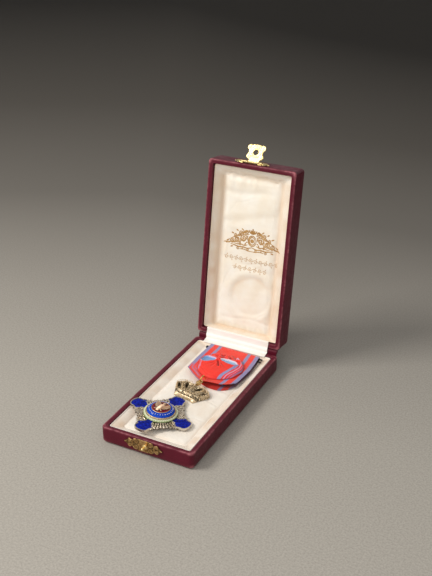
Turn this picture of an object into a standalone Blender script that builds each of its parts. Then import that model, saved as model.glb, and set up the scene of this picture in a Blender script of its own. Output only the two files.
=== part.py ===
"""Order insignia lying in an open, hinged presentation case.

Frame: origin at the centre of the case base's underside, +X across the case, +Y towards the
hinge, +Z up. Metres. The lid is modelled shut and turned open about the hinge axis by its
parent empty; the clasp lever is modelled latched and turned up about its own pin.
"""
import math

import bmesh
import bpy
from mathutils import Matrix, Vector

MM = 0.001

# ---- case -------------------------------------------------------------------------------
CASE_W = 58.0          # across, X
CASE_L = 114.1         # front to hinge, Y
BASE_H = 10.2
RIM_W = 3.0            # wrapped rim of both halves
FLOOR_T = 1.8
LID_H = 15.2
LID_TOP_T = 2.0
RIM_GAP = 0.3          # between the two rims when shut
LID_OPEN_DEG = 98.5
GAP = 0.3              # between neighbouring pieces

HINGE_Y = CASE_L / 2 + 1.71
HINGE_Z = BASE_H + 1.48
BEAD_R = 1.3           # leather-covered hinge bead
LEAF_T = 0.6

# ---- linings ----------------------------------------------------------------------------
LIP_Z = 9.6            # base lining's lip, just under the rim
BED_Z = 7.3
BED_HALF_W = 19.6
BED_FRONT = 48.0       # bed edge, distance from the centre towards the front
BED_BACK = 51.9
PANEL_DEPTH = 6.8      # lid panel below the lid's rim
PANEL_HALF_W = 19.2
PANEL_X = -1.0           # panel's middle, off the lid's middle
PANEL_BACK = 52.3        # panel's end by the hinge
PANEL_FRONT = 48.0
LIP_DEPTH = 2.4          # lid lining's lip below the lid's rim

# ---- clasp ------------------------------------------------------------------------------
CATCH_X = -1.3          # centre of the catch plate
KNOB_X = -0.5
PLATE_X = -1.5          # centre of the lid plate
HASP_X = 0.2
PLATE_T = 0.5
HASP_PIN_Z = 12.2      # lever pin, lid shut
HASP_PIN_Y = -CASE_L / 2 - 1.25
HASP_HOLE = 6.3        # from the pin to the hole
HASP_HOLE_R = 1.6
HASP_REST_DEG = -115.0

# ---- cross ------------------------------------------------------------------------------
STAR_ORIGIN = (-5.0, 25.35 - CASE_L / 2, 11.1)   # centre of the arms' upper plane
STAR_TURN = 7.7        # clockwise seen from above
STAR_RISE = (-0.072, -0.034)                     # height gained per mm along X and Y
STAR_T = 1.2
ARM_COUNT = 4
RAYS_PER_FAN = 9
FAN_HALF_DEG = 33.0
CROWN_ORIGIN = (-2.3, 47.2 - CASE_L / 2, 9.5)
CROWN_TURN = 8.0
CROWN_RISE = (-0.05, 0.105)

# ---- ribbon -----------------------------------------------------------------------------
CLOTH_T = 0.8
LOWER_Z = 8.1
UPPER_Z = 10.4
FOLD_R = (UPPER_Z - LOWER_Z) / 2


# ------------------------------------------------------------------------------- scene set-up
for ob in list(bpy.data.objects):
    bpy.data.objects.remove(ob, do_unlink=True)

PARTS = bpy.data.collections.new("order_insignia_in_case")
CUTTERS = bpy.data.collections.new("cutters")
bpy.context.scene.collection.children.link(PARTS)
bpy.context.scene.collection.children.link(CUTTERS)


def material(name, colour, roughness, metallic):
    m = bpy.data.materials.new(name)
    m.use_nodes = True
    b = m.node_tree.nodes["Principled BSDF"]
    b.inputs["Base Color"].default_value = (*colour, 1.0)
    b.inputs["Roughness"].default_value = roughness
    b.inputs["Metallic"].default_value = metallic
    return m


LEATHER = material("leather", (0.115, 0.018, 0.028), 0.5, 0.0)
SATIN = material("satin", (0.86, 0.79, 0.68), 0.45, 0.0)
BRASS = material("brass", (0.78, 0.6, 0.32), 0.3, 1.0)
SILVER = material("silver_gilt", (0.5, 0.45, 0.38), 0.35, 1.0)
BLUE = material("blue_enamel", (0.005, 0.012, 0.3), 0.1, 0.0)
RING_BLUE = material("ring_blue_enamel", (0.01, 0.05, 0.42), 0.1, 0.0)
GREEN = material("green_enamel", (0.5, 0.58, 0.28), 0.2, 0.0)
RED = material("red_enamel", (0.3, 0.01, 0.03), 0.1, 0.0)
GILT = material("gilt", (0.72, 0.52, 0.28), 0.3, 1.0)
RIBBON_RED = material("ribbon_cloth", (0.8, 0.05, 0.04), 0.7, 0.0)
BLACK = material("blackened_steel", (0.02, 0.02, 0.02), 0.4, 1.0)


# ---------------------------------------------------------------------------------- helpers
def empty(name, matrix, parent=None):
    e = bpy.data.objects.new(name, None)
    PARTS.objects.link(e)
    e.parent = parent
    e.matrix_basis = matrix
    return e


def add_object(name, mesh, mat, parent=None, matrix=None, cutter=False):
    ob = bpy.data.objects.new(name, mesh)
    (CUTTERS if cutter else PARTS).objects.link(ob)
    ob.parent = parent
    if matrix is not None:
        ob.matrix_basis = matrix
    if cutter:
        ob.hide_render = True
        ob.display_type = "WIRE"
    elif mat is not None:
        mesh.materials.append(mat)
    return ob


def mesh_from(bm, name):
    bmesh.ops.remove_doubles(bm, verts=bm.verts, dist=1e-7)
    bmesh.ops.recalc_face_normals(bm, faces=bm.faces)
    for v in bm.verts:
        v.co *= MM
    me = bpy.data.meshes.new(name)
    bm.to_mesh(me)
    bm.free()
    return me


def box_bm(low, high):
    bm = bmesh.new()
    bmesh.ops.create_cube(bm, size=1.0)
    for v in bm.verts:
        v.co = Vector([low[k] + (v.co[k] + 0.5) * (high[k] - low[k]) for k in range(3)])
    return bm


def bevel_edges(bm, keep, radius, segments):
    edges = [e for e in bm.edges if keep(e.verts[0].co, e.verts[1].co)]
    bmesh.ops.bevel(bm, geom=edges, offset=radius, segments=segments, profile=0.5, affect="EDGES")


def vertical(a, b):
    return abs(a.x - b.x) < 1e-4 and abs(a.y - b.y) < 1e-4


def at_height(z):
    return lambda a, b: abs(a.z - z) < 1e-4 and abs(b.z - z) < 1e-4


def rounded_rect(half_x, back, front, radius, steps=3):
    """Outline of a rectangle with round corners, from -front to +back along Y."""
    pts = []
    for cx, cy, start in ((half_x - radius, back - radius, 0), (-half_x + radius, back - radius, 90),
                          (-half_x + radius, -front + radius, 180), (half_x - radius, -front + radius, 270)):
        for k in range(steps + 1):
            a = math.radians(start + 90 * k / steps)
            pts.append((cx + radius * math.cos(a), cy + radius * math.sin(a)))
    return pts


def loft(rings):
    """Closed solid through rings of equal length, with flat caps on the first and last."""
    bm = bmesh.new()
    loops = [[bm.verts.new(p) for p in ring] for ring in rings]
    n = len(loops[0])
    for a, b in zip(loops, loops[1:]):
        for i in range(n):
            j = (i + 1) % n
            bm.faces.new((a[i], a[j], b[j], b[i]))
    bm.faces.new(loops[0][::-1])
    bm.faces.new(loops[-1])
    return bm


def at_z(outline, z):
    return [(x, y, z) for x, y in outline]


def turned(name, profile, steps, mat, parent, matrix=None, cutter=False):
    """Profile of (radius, height), run down its outer side, turned about local Z."""
    closed = profile[0][0] > 1e-6
    me = bpy.data.meshes.new(name)
    n = len(profile)
    edges = [(i, i + 1) for i in range(n - 1)] + ([(n - 1, 0)] if closed else [])
    me.from_pydata([(r * MM, 0.0, z * MM) for r, z in profile], edges, [])
    ob = add_object(name, me, mat, parent, matrix, cutter)
    m = ob.modifiers.new("turn", "SCREW")
    m.steps = m.render_steps = steps
    m.use_merge_vertices = True
    m.merge_threshold = 0.00001
    m.use_smooth_shade = True
    return ob


def plate(name, outline, thickness, mat, parent=None, matrix=None, cutter=False):
    """Flat outline (local XY) with its faces at 0 and +thickness on local Z."""
    cu = bpy.data.curves.new(name + "_outline", "CURVE")
    cu.dimensions = "2D"
    cu.fill_mode = "BOTH"
    cu.extrude = thickness * MM / 2
    sp = cu.splines.new("POLY")
    sp.points.add(len(outline) - 1)
    for p, (x, y) in zip(sp.points, outline):
        p.co = (x * MM, y * MM, 0.0, 1.0)
    sp.use_cyclic_u = True
    tmp = bpy.data.objects.new(name + "_curve", cu)
    PARTS.objects.link(tmp)
    me = bpy.data.meshes.new_from_object(tmp.evaluated_get(bpy.context.evaluated_depsgraph_get()))
    bpy.data.objects.remove(tmp, do_unlink=True)
    bm = bmesh.new()
    bm.from_mesh(me)
    bmesh.ops.remove_doubles(bm, verts=bm.verts, dist=1e-6)
    bmesh.ops.translate(bm, verts=bm.verts, vec=(0, 0, thickness * MM / 2))
    bmesh.ops.recalc_face_normals(bm, faces=bm.faces)
    bm.to_mesh(me)
    bm.free()
    me.name = name
    me.materials.clear()
    return add_object(name, me, mat, parent, matrix, cutter)


def boolean(ob, other, operation):
    m = ob.modifiers.new(operation.lower(), "BOOLEAN")
    m.operation = operation
    m.object = other
    m.solver = "EXACT"


def cylinder_bm(p0, p1, r0, r1=None, segments=16):
    """Cylinder or cone frustum between two points."""
    p0, p1 = Vector(p0), Vector(p1)
    d = p1 - p0
    bm = bmesh.new()
    bmesh.ops.create_cone(bm, cap_ends=True, segments=segments, radius1=r0, radius2=r0 if r1 is None else r1,
                          depth=d.length)
    rot = Vector((0, 0, 1)).rotation_difference(d.normalized()).to_matrix().to_4x4()
    bmesh.ops.transform(bm, matrix=Matrix.Translation((p0 + p1) / 2) @ rot, verts=bm.verts)
    return bm


def joined(*bms):
    """Several closed shells in one mesh, for a cutter or a union operand."""
    out = bmesh.new()
    for b in bms:
        me = bpy.data.meshes.new("tmp")
        b.to_mesh(me)
        b.free()
        out.from_mesh(me)
        bpy.data.meshes.remove(me)
    return out


def torus_bm(centre, major, minor, normal, n_major, n_minor):
    """Ring of round wire about the given normal."""
    bm = bmesh.new()
    loops = []
    for i in range(n_major):
        a = 2 * math.pi * i / n_major
        loop = []
        for j in range(n_minor):
            b = 2 * math.pi * j / n_minor
            rr = major + minor * math.cos(b)
            loop.append(bm.verts.new((rr * math.cos(a), rr * math.sin(a), minor * math.sin(b))))
        loops.append(loop)
    for i in range(n_major):
        p, q = loops[i], loops[(i + 1) % n_major]
        for j in range(n_minor):
            k = (j + 1) % n_minor
            bm.faces.new((p[j], q[j], q[k], p[k]))
    rot = Vector((0, 0, 1)).rotation_difference(Vector(normal)).to_matrix().to_4x4()
    bmesh.ops.transform(bm, matrix=Matrix.Translation(centre) @ rot, verts=bm.verts)
    return bm


def tilted_frame(origin, turn_deg, rise):
    """Frame turned clockwise about Z and then leaning, rising by rise mm per mm along X and Y."""
    a = math.radians(turn_deg)
    ex = Vector((math.cos(a), -math.sin(a), 0))
    ey = Vector((math.sin(a), math.cos(a), 0))
    for v in (ex, ey):
        v.z = rise[0] * v.x + rise[1] * v.y
    ex.normalize()
    ez = ex.cross(ey).normalized()
    ey = ez.cross(ex)
    m = Matrix((ex, ey, ez)).transposed().to_4x4()
    return Matrix.Translation(Vector(origin) * MM) @ m


def mirror_half(half):
    """Closed outline from a half listed from the bottom point to the top point at x >= 0."""
    left = [(-x, y) for x, y in reversed(half) if x > 1e-6]
    return list(half) + left


def inset(outline, d):
    """Outline moved inwards by d along its corner normals (counter-clockwise outline)."""
    n = len(outline)
    out = []
    for i in range(n):
        p0, p, p1 = (Vector(outline[k % n]) for k in (i - 1, i, i + 1))
        a, b = (p - p0).normalized(), (p1 - p).normalized()
        na, nb = Vector((-a.y, a.x)), Vector((-b.y, b.x))
        m = (na + nb)
        m = m / max(m.length, 1e-6)
        out.append(tuple(p + m * d / max(m.dot(na), 0.6)))
    return out


# --------------------------------------------------------------------------------- case base
HW, HL = CASE_W / 2, CASE_L / 2

bm = box_bm((-HW, -HL, 0.0), (HW, HL, BASE_H))
bevel_edges(bm, vertical, 1.9, 4)
bevel_edges(bm, at_height(0.0), 1.3, 3)
bevel_edges(bm, at_height(BASE_H), 0.35, 2)
case_base = add_object("case_base", mesh_from(bm, "case_base"), LEATHER)

bm = box_bm((-HW + RIM_W, -HL + RIM_W, FLOOR_T), (HW - RIM_W, HL - RIM_W, BASE_H + 5))
bevel_edges(bm, vertical, 1.6, 3)
boolean(case_base, add_object("base_cavity", mesh_from(bm, "base_cavity"), None, cutter=True), "DIFFERENCE")

# shallow seat across the rear rim for the cloth hinge strip
STRIP_X = (-22.0, 21.2)
STRIP_SEAT = 0.9
STRIP_T = 0.5
bm = box_bm((STRIP_X[0] - GAP, HL - RIM_W - 1.0, BASE_H - STRIP_SEAT), (STRIP_X[1] + GAP, HL + 1.0, BASE_H + 1.0))
boolean(case_base, add_object("base_strip_seat", mesh_from(bm, "base_strip_seat"), None, cutter=True), "DIFFERENCE")
bm = box_bm((STRIP_X[0], HL - RIM_W, BASE_H - STRIP_SEAT + GAP), (STRIP_X[1], HL - 0.15, BASE_H - STRIP_SEAT + GAP + STRIP_T))
add_object("hinge_cloth_base", mesh_from(bm, "hinge_cloth_base"), SATIN)

# base lining: sides slope from a thin lip under the rim down to the flat bed
ox, oy = HW - RIM_W - GAP, HL - RIM_W - GAP
lip = 0.5
rings = [
    at_z(rounded_rect(ox, oy, oy, 1.3), FLOOR_T + GAP),
    at_z(rounded_rect(ox, oy, oy, 1.3), LIP_Z - 0.2),
    at_z(rounded_rect(ox - 0.2, oy - 0.2, oy - 0.2, 1.2), LIP_Z),
    at_z(rounded_rect(ox - lip, oy - lip, oy - lip, 1.2), LIP_Z - 0.15),
    at_z(rounded_rect(BED_HALF_W + 2.0, BED_BACK + 0.4, BED_FRONT + 1.8, 1.6), BED_Z + 0.65),
    at_z(rounded_rect(BED_HALF_W, BED_BACK, BED_FRONT, 2.2), BED_Z),
]
base_lining = add_object("base_lining", mesh_from(loft(rings), "base_lining"), SATIN)

# --------------------------------------------------------------------------------- hinge bead
KNUCKLES = (            # from, to across the hinge, and the half that carries it
    (-27.4, -15.2, "base"),
    (-14.9, -5.2, "lid"),
    (-4.9, 4.9, "base"),
    (5.2, 14.9, "lid"),
    (15.2, 27.4, "base"),
)
LEAF_IN = HL + GAP               # leaf face against the leather
LEAF_OUT = LEAF_IN + LEAF_T
LEAF_CLEAR = 1.55                # leaf keeps this far from the axis beside the other half's bead


def hinge_half(name, side, parent, matrix):
    """One half of the bead: a leaf, its knuckles, and a web from the leaf into each knuckle."""
    s = -1.0 if side == "base" else 1.0
    z0, z1 = sorted((HINGE_Z + s * LEAF_CLEAR, HINGE_Z + s * 6.6))
    bm = box_bm((-27.4, LEAF_IN, z0), (27.4, LEAF_OUT, z1))
    ob = add_object(name, mesh_from(bm, name), LEATHER, parent, matrix)
    shells = []
    for x0, x1, owner in KNUCKLES:
        if owner == side:
            shells.append(cylinder_bm((x0, HINGE_Y, HINGE_Z), (x1, HINGE_Y, HINGE_Z), BEAD_R, segments=16))
    boolean(ob, add_object(name + "_bead", mesh_from(joined(*shells), name + "_bead"), None, parent, matrix, cutter=True), "UNION")
    webs = []
    for x0, x1, owner in KNUCKLES:
        if owner == side:
            w0, w1 = sorted((HINGE_Z - s * 0.1, HINGE_Z + s * (LEAF_CLEAR + 0.4)))
            webs.append(box_bm((x0 + 0.02, LEAF_IN + 0.03, w0), (x1 - 0.02, LEAF_OUT + 0.25, w1)))
    boolean(ob, add_object(name + "_web", mesh_from(joined(*webs), name + "_web"), None, parent, matrix, cutter=True), "UNION")
    return ob


hinge_half("hinge_base", "base", None, None)

# ------------------------------------------------------------------------------ lid (shut pose)
# Everything on the lid is placed in the shut pose about the hinge axis, and the empty opens it.
PIVOT = Vector((0.0, HINGE_Y, HINGE_Z)) * MM
lid_pivot = empty("lid_pivot", Matrix.Translation(PIVOT) @ Matrix.Rotation(math.radians(-LID_OPEN_DEG), 4, "X"))
SHUT = Matrix.Translation(-PIVOT)          # from the shut pose's frame to the pivot's frame

RIM_Z = BASE_H + RIM_GAP
TOP_Z = RIM_Z + LID_H
bm = box_bm((-HW, -HL, RIM_Z), (HW, HL, TOP_Z))
bevel_edges(bm, vertical, 2.2, 4)
bevel_edges(bm, at_height(TOP_Z), 2.2, 4)
bevel_edges(bm, at_height(RIM_Z), 0.35, 2)
case_lid = add_object("case_lid", mesh_from(bm, "case_lid"), LEATHER, lid_pivot, SHUT)
bm = box_bm((-HW + RIM_W, -HL + RIM_W, RIM_Z - 5), (HW - RIM_W, HL - RIM_W, TOP_Z - LID_TOP_T))
bevel_edges(bm, vertical, 1.8, 3)
boolean(case_lid, add_object("lid_cavity", mesh_from(bm, "lid_cavity"), None, lid_pivot, SHUT, cutter=True), "DIFFERENCE")
bm = box_bm((STRIP_X[0] - GAP, HL - RIM_W - 1.0, RIM_Z - 1.0), (STRIP_X[1] + GAP, HL + 1.0, RIM_Z + STRIP_SEAT))
boolean(case_lid, add_object("lid_strip_seat", mesh_from(bm, "lid_strip_seat"), None, lid_pivot, SHUT, cutter=True), "DIFFERENCE")
bm = box_bm((STRIP_X[0], HL - RIM_W, RIM_Z + 0.1), (STRIP_X[1], HL - 0.15, RIM_Z + 0.1 + STRIP_T))
add_object("hinge_cloth_lid", mesh_from(bm, "hinge_cloth_lid"), SATIN, lid_pivot, SHUT)

# lid lining: starts below the rim, upright at first, then a bevel to the raised central panel
wall = 0.3


def shifted(outline, dx):
    return [(x + dx, y) for x, y in outline]


rings = [
    at_z(rounded_rect(ox, oy, oy, 1.5), TOP_Z - LID_TOP_T - GAP),
    at_z(rounded_rect(ox, oy, oy, 1.5), RIM_Z + LIP_DEPTH),
    at_z(rounded_rect(ox - wall / 2, oy - wall / 2, oy - wall / 2, 1.4), RIM_Z + LIP_DEPTH - 0.15),
    at_z(rounded_rect(ox - wall, oy - wall, oy - wall, 1.4), RIM_Z + LIP_DEPTH),
    at_z(rounded_rect(ox - wall, oy - wall, oy - wall, 1.4), RIM_Z + 2.9),
    at_z(shifted(rounded_rect(PANEL_HALF_W + 2.4, PANEL_BACK + 0.4, PANEL_FRONT + 2.4, 2.0), PANEL_X * 0.6), RIM_Z + 5.2),
    at_z(shifted(rounded_rect(PANEL_HALF_W, PANEL_BACK, PANEL_FRONT, 2.4), PANEL_X), RIM_Z + PANEL_DEPTH),
]
add_object("lid_lining", mesh_from(loft(rings), "lid_lining"), SATIN, lid_pivot, SHUT)
hinge_half("hinge_lid", "lid", lid_pivot, SHUT)

# ------------------------------------------------------------------------------------- clasp
UPRIGHT = Matrix.Rotation(math.radians(90), 4, "X")      # local XY plane to world XZ, face to the front


def front_at(x, y, z):
    return Matrix.Translation(Vector((x, y, z)) * MM) @ UPRIGHT


CATCH_HALF = (          # x from the centre, height above the plate's middle, bottom to top
    (0.0, -3.6), (2.0, -3.8), (4.2, -3.52), (6.0, -3.4), (6.4, -2.4), (7.4, -2.2), (8.3, -2.9), (9.5, -2.5),
    (10.0, -1.4), (10.9, -0.9), (12.2, 0.0), (10.9, 0.9), (10.0, 1.4), (9.6, 2.4), (8.5, 2.9), (7.4, 2.3),
    (6.4, 2.5), (6.0, 3.4), (4.2, 3.52), (2.0, 3.8), (0.0, 3.6),
)
PLATE_Y = -HL - GAP
CATCH_Z = HASP_PIN_Z - HASP_HOLE
catch_plate = plate("catch_plate", mirror_half(CATCH_HALF), PLATE_T, BRASS, None, front_at(CATCH_X, PLATE_Y, 6.25))
knob = turned("knob", [(0.0, 3.3), (0.55, 3.15), (0.85, 2.65), (0.85, 2.1), (0.6, 1.6), (0.6, 0.2), (0.0, 0.2)], 12, None, None,
              front_at(KNOB_X, PLATE_Y, CATCH_Z), cutter=True)
boolean(catch_plate, knob, "UNION")

LID_PLATE_OUTLINE = (   # x from the centre, z in the shut pose; notched for the lever's knuckle
    (4.9, 13.1), (4.9, 11.1), (6.9, 11.15), (7.4, 12.0), (8.4, 11.4), (9.3, 12.2), (9.9, 13.4), (11.4, 14.2),
    (10.0, 15.1), (9.4, 16.4), (8.3, 17.1), (7.2, 16.6), (6.4, 17.6), (4.0, 17.8), (2.0, 18.3),
    (0.0, 18.0),
)
outline = list(LID_PLATE_OUTLINE) + [(-x, z) for x, z in reversed(LID_PLATE_OUTLINE) if x > 1e-6]
lid_plate = plate("lid_plate", outline, PLATE_T, BRASS, lid_pivot, SHUT @ front_at(PLATE_X, PLATE_Y, 0.0))
PIN_R = 0.55
shells = [cylinder_bm((x0, HASP_PIN_Y, HASP_PIN_Z), (x1, HASP_PIN_Y, HASP_PIN_Z), PIN_R, segments=12)
          for x0, x1 in ((PLATE_X - 6.4, HASP_X - 3.75), (HASP_X + 3.75, PLATE_X + 7.4))]
boolean(lid_plate, add_object("lid_plate_knuckles", mesh_from(joined(*shells), "lid_plate_knuckles"), None, lid_pivot, SHUT, cutter=True), "UNION")

hasp_pivot = empty(
    "hasp_pivot",
    Matrix.Translation(Vector((0, HASP_PIN_Y, HASP_PIN_Z)) * MM - PIVOT) @ Matrix.Rotation(math.radians(HASP_REST_DEG), 4, "X"),
    lid_pivot)
HASP_HALF = (           # half-width, distance below the pin, from the tip up to the pin
    (0.0, -11.3), (2.3, -11.15), (2.9, -10.7), (3.6, -11.1), (4.8, -10.9), (5.7, -10.2), (6.0, -9.1), (5.7, -8.1),
    (5.0, -7.3), (4.7, -6.2), (4.9, -5.2), (5.4, -4.4), (5.7, -3.5), (5.2, -2.6), (4.2, -1.9), (3.5, -1.3),
    (3.4, 0.0),
)
HASP_T = 0.6
hasp_outline = list(HASP_HALF) + [(-x, y) for x, y in reversed(HASP_HALF) if x > 1e-6]
hasp = plate("hasp", hasp_outline, HASP_T, BRASS, hasp_pivot,
             Matrix.Translation(Vector((HASP_X, HASP_T / 2, 0)) * MM) @ UPRIGHT)
bm = cylinder_bm((HASP_X - 3.4, 0, 0), (HASP_X + 3.4, 0, 0), PIN_R, segments=12)
boolean(hasp, add_object("hasp_knuckle", mesh_from(bm, "hasp_knuckle"), None, hasp_pivot, cutter=True), "UNION")
bm = cylinder_bm((HASP_X, 0.1, -HASP_HOLE), (HASP_X, -HASP_T / 2 - 0.35, -HASP_HOLE), 2.5, 2.2, segments=24)
boolean(hasp, add_object("hasp_boss", mesh_from(bm, "hasp_boss"), None, hasp_pivot, cutter=True), "UNION")
bm = cylinder_bm((HASP_X, 2, -HASP_HOLE), (HASP_X, -3, -HASP_HOLE), HASP_HOLE_R, segments=24)
boolean(hasp, add_object("hasp_hole", mesh_from(bm, "hasp_hole"), None, hasp_pivot, cutter=True), "DIFFERENCE")

# ------------------------------------------------------------------------------------- cross
star = empty("star_frame", tilted_frame(STAR_ORIGIN, STAR_TURN, STAR_RISE))

FAN_INNER = 7.6


def fan_radius(offset_deg):
    """Length of a ray at this angle from the middle of its fan: shortest in the middle."""
    return 13.6 + 3.8 * (abs(offset_deg) / FAN_HALF_DEG) ** 1.7


def star_rings():
    """Outline angles with the ray radius, the top height there and the height halfway in."""
    rows = []
    for q in range(4):
        mid = 45 + 90 * q
        count = 2 * RAYS_PER_FAN
        for i in range(count + 1):
            off = -FAN_HALF_DEG + 2 * FAN_HALF_DEG * i / count
            ridge = i % 2 == 1
            r = fan_radius(off) + (0.25 if ridge else -0.45)
            rows.append((mid + off, r, -0.2 if ridge else -0.68))
        rows.append((mid + 45 - 6.5, 10.5, -0.3))
        rows.append((mid + 45 + 6.5, 10.5, -0.3))
    return rows


rows = star_rings()
polar = lambda a, r, z: (r * math.cos(math.radians(a)), r * math.sin(math.radians(a)), z)
rings = [
    [polar(a, r - 0.25, -STAR_T + 0.08) for a, r, z in rows],
    [polar(a, r, -STAR_T + 0.3) for a, r, z in rows],
    [polar(a, r, z) for a, r, z in rows],
    [polar(a, FAN_INNER, -0.22) for a, r, z in rows],
]
star_body = add_object("star_body", mesh_from(loft(rings), "star_body"), SILVER, star)

ARM_HALF = (            # half-width, distance from the centre, inner end to tip
    (2.6, 7.2), (2.5, 10.9), (3.15, 11.9), (4.5, 12.7), (5.2, 13.8), (5.15, 15.2), (4.6, 16.1), (4.35, 17.0),
    (4.3, 18.0), (3.75, 19.1), (2.6, 19.9), (1.25, 20.3), (0.0, 20.4),
)
arm_outline = list(ARM_HALF) + [(-x, y) for x, y in reversed(ARM_HALF) if x > 1e-6]
RIM_METAL = 0.55
recess_outline = inset(arm_outline, RIM_METAL)
enamel_outline = inset(arm_outline, RIM_METAL + 0.28)


def prism_bm(outline, z0, z1):
    return loft([at_z(outline, z0), at_z(outline, z1)])


def turned_copies(make):
    shells = []
    for k in range(ARM_COUNT):
        b = make()
        bmesh.ops.rotate(b, verts=b.verts, cent=(0, 0, 0), matrix=Matrix.Rotation(math.radians(90 * k), 3, "Z"))
        shells.append(b)
    return joined(*shells)


bm = turned_copies(lambda: prism_bm(arm_outline, -STAR_T, 0.0))
boolean(star_body, add_object("arms", mesh_from(bm, "arms"), None, star, cutter=True), "UNION")
bm = cylinder_bm((0, 0, -STAR_T - 0.95), (0, 0, -0.6), 8.0, segments=32)
boolean(star_body, add_object("reverse_boss", mesh_from(bm, "reverse_boss"), None, star, cutter=True), "UNION")
bm = turned_copies(lambda: prism_bm(recess_outline, -0.75, 1.0))
boolean(star_body, add_object("arm_recesses", mesh_from(bm, "arm_recesses"), None, star, cutter=True), "DIFFERENCE")

for k, name in enumerate(("enamel_top", "enamel_left", "enamel_bottom", "enamel_right")):
    crowned = inset(enamel_outline, 0.3)
    bm = loft([at_z(enamel_outline, -0.45), at_z(enamel_outline, -0.16), at_z(crowned, -0.02)])
    bmesh.ops.rotate(bm, verts=bm.verts, cent=(0, 0, 0), matrix=Matrix.Rotation(math.radians(90 * k), 3, "Z"))
    add_object(name, mesh_from(bm, name), BLUE, star)

# stepped, domed centre: green wreath, metal dish, blue ring, red disc, eagle
turned("wreath_ring", [(9.2, 1.25), (9.65, 0.95), (9.8, 0.6), (9.75, 0.25), (8.85, 0.25), (8.85, 0.95), (8.95, 1.2)], 40, GREEN, star)
turned("medallion_mount", [(0.0, 3.3), (4.95, 3.3), (5.05, 3.95), (5.4, 4.0), (5.55, 3.15), (8.2, 1.45), (8.3, 1.95),
                           (8.5, 1.95), (8.6, 1.6), (8.6, 0.25), (0.0, 0.25)], 40, SILVER, star)
turned("blue_ring", [(5.85, 3.75), (6.8, 3.35), (7.8, 2.5), (7.95, 2.0), (5.8, 3.4)], 40, RING_BLUE, star)
turned("red_disc", [(0.0, 4.2), (2.6, 4.12), (4.4, 3.9), (4.65, 3.6), (0.0, 3.6)], 32, RED, star)
EAGLE_HALF = (          # half-width, height on the disc, tail to head
    (0.0, -4.0), (1.0, -3.6), (0.8, -2.4), (1.2, -2.9), (1.75, -2.6), (1.15, -1.6), (1.5, -0.9), (1.95, -1.5),
    (2.7, -1.0), (3.4, 0.0), (3.8, 1.2), (4.0, 2.4), (3.3, 3.2), (2.2, 3.0), (1.3, 2.3), (0.7, 2.5),
    (0.95, 3.1), (0.75, 3.75), (0.0, 4.0),
)
plate("eagle", mirror_half(EAGLE_HALF), 0.6, GILT, star, Matrix.Translation(Vector((0, 0, 4.5)) * MM))

# ------------------------------------------------------------------------------------- crown
crown_frame = empty("crown_frame", tilted_frame(CROWN_ORIGIN, CROWN_TURN, CROWN_RISE))
CROWN_HALF = (          # half-width, height above the band's lower edge
    (0.0, 0.5), (3.0, 0.3), (5.4, -0.1), (6.7, -0.35), (7.4, 0.9), (8.5, 2.9), (9.8, 5.0), (11.1, 7.0),
    (12.0, 8.9), (11.7, 10.2), (10.2, 11.5), (8.2, 12.7), (6.0, 13.4), (3.6, 13.7), (1.6, 13.6), (0.0, 13.7),
)
CROWN_BOTTOM = -1.1
crown_outline = list(CROWN_HALF) + [(-x, y) for x, y in reversed(CROWN_HALF) if x > 1e-6]
crown = plate("crown", crown_outline, 5.0, GILT, crown_frame, Matrix.Translation(Vector((0, 0, CROWN_BOTTOM)) * MM))
CROWN_SLOTS = (         # centre x, centre y, half-width, half-length, lean outwards
    (8.6, 7.3, 0.8, 2.2, 33.0),
    (4.2, 9.3, 1.0, 2.7, 26.0),
)
slots = []
for cx, cy, a, b, lean in CROWN_SLOTS:
    for s in (-1, 1):
        t = math.radians(-s * lean)
        pts = []
        for k in range(12):
            u = 2 * math.pi * k / 12
            x, y = a * math.cos(u), b * math.sin(u)
            pts.append((s * cx + x * math.cos(t) - y * math.sin(t), cy + x * math.sin(t) + y * math.cos(t)))
        slots.append(prism_bm(pts, -4, 6))
boolean(crown, add_object("crown_slots", mesh_from(joined(*slots), "crown_slots"), None, crown_frame, cutter=True), "DIFFERENCE")
bm = bmesh.new()
bmesh.ops.create_uvsphere(bm, u_segments=28, v_segments=14, radius=1.0)
bmesh.ops.transform(bm, matrix=Matrix.Translation((0, 7.3, -2.0)) @ Matrix.Diagonal((17.0, 14.5, 4.4, 1.0)), verts=bm.verts)
boolean(crown, add_object("crown_dome", mesh_from(bm, "crown_dome"), None, crown_frame, cutter=True), "INTERSECT")
ORB = (0.0, 15.0, 0.6)
LOOP = (0.0, 17.0, 0.6)
RING_R, RING_WIRE = 2.3, 0.4
bm = bmesh.new()
bmesh.ops.create_uvsphere(bm, u_segments=14, v_segments=8, radius=1.5)
bmesh.ops.translate(bm, verts=bm.verts, vec=ORB)
boolean(crown, add_object("crown_orb", mesh_from(bm, "crown_orb"), None, crown_frame, cutter=True), "UNION")
bm = torus_bm(LOOP, 1.15, 0.36, (0, 0, 1), 20, 8)
boolean(crown, add_object("crown_loop", mesh_from(bm, "crown_loop"), None, crown_frame, cutter=True), "UNION")

RING_C = (0.0, LOOP[1] + RING_R + 0.05, LOOP[2])
bm = torus_bm(RING_C, RING_R, RING_WIRE, (1, 0, 0), 28, 10)
add_object("suspension_ring", mesh_from(bm, "suspension_ring"), GILT, crown_frame)

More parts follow.
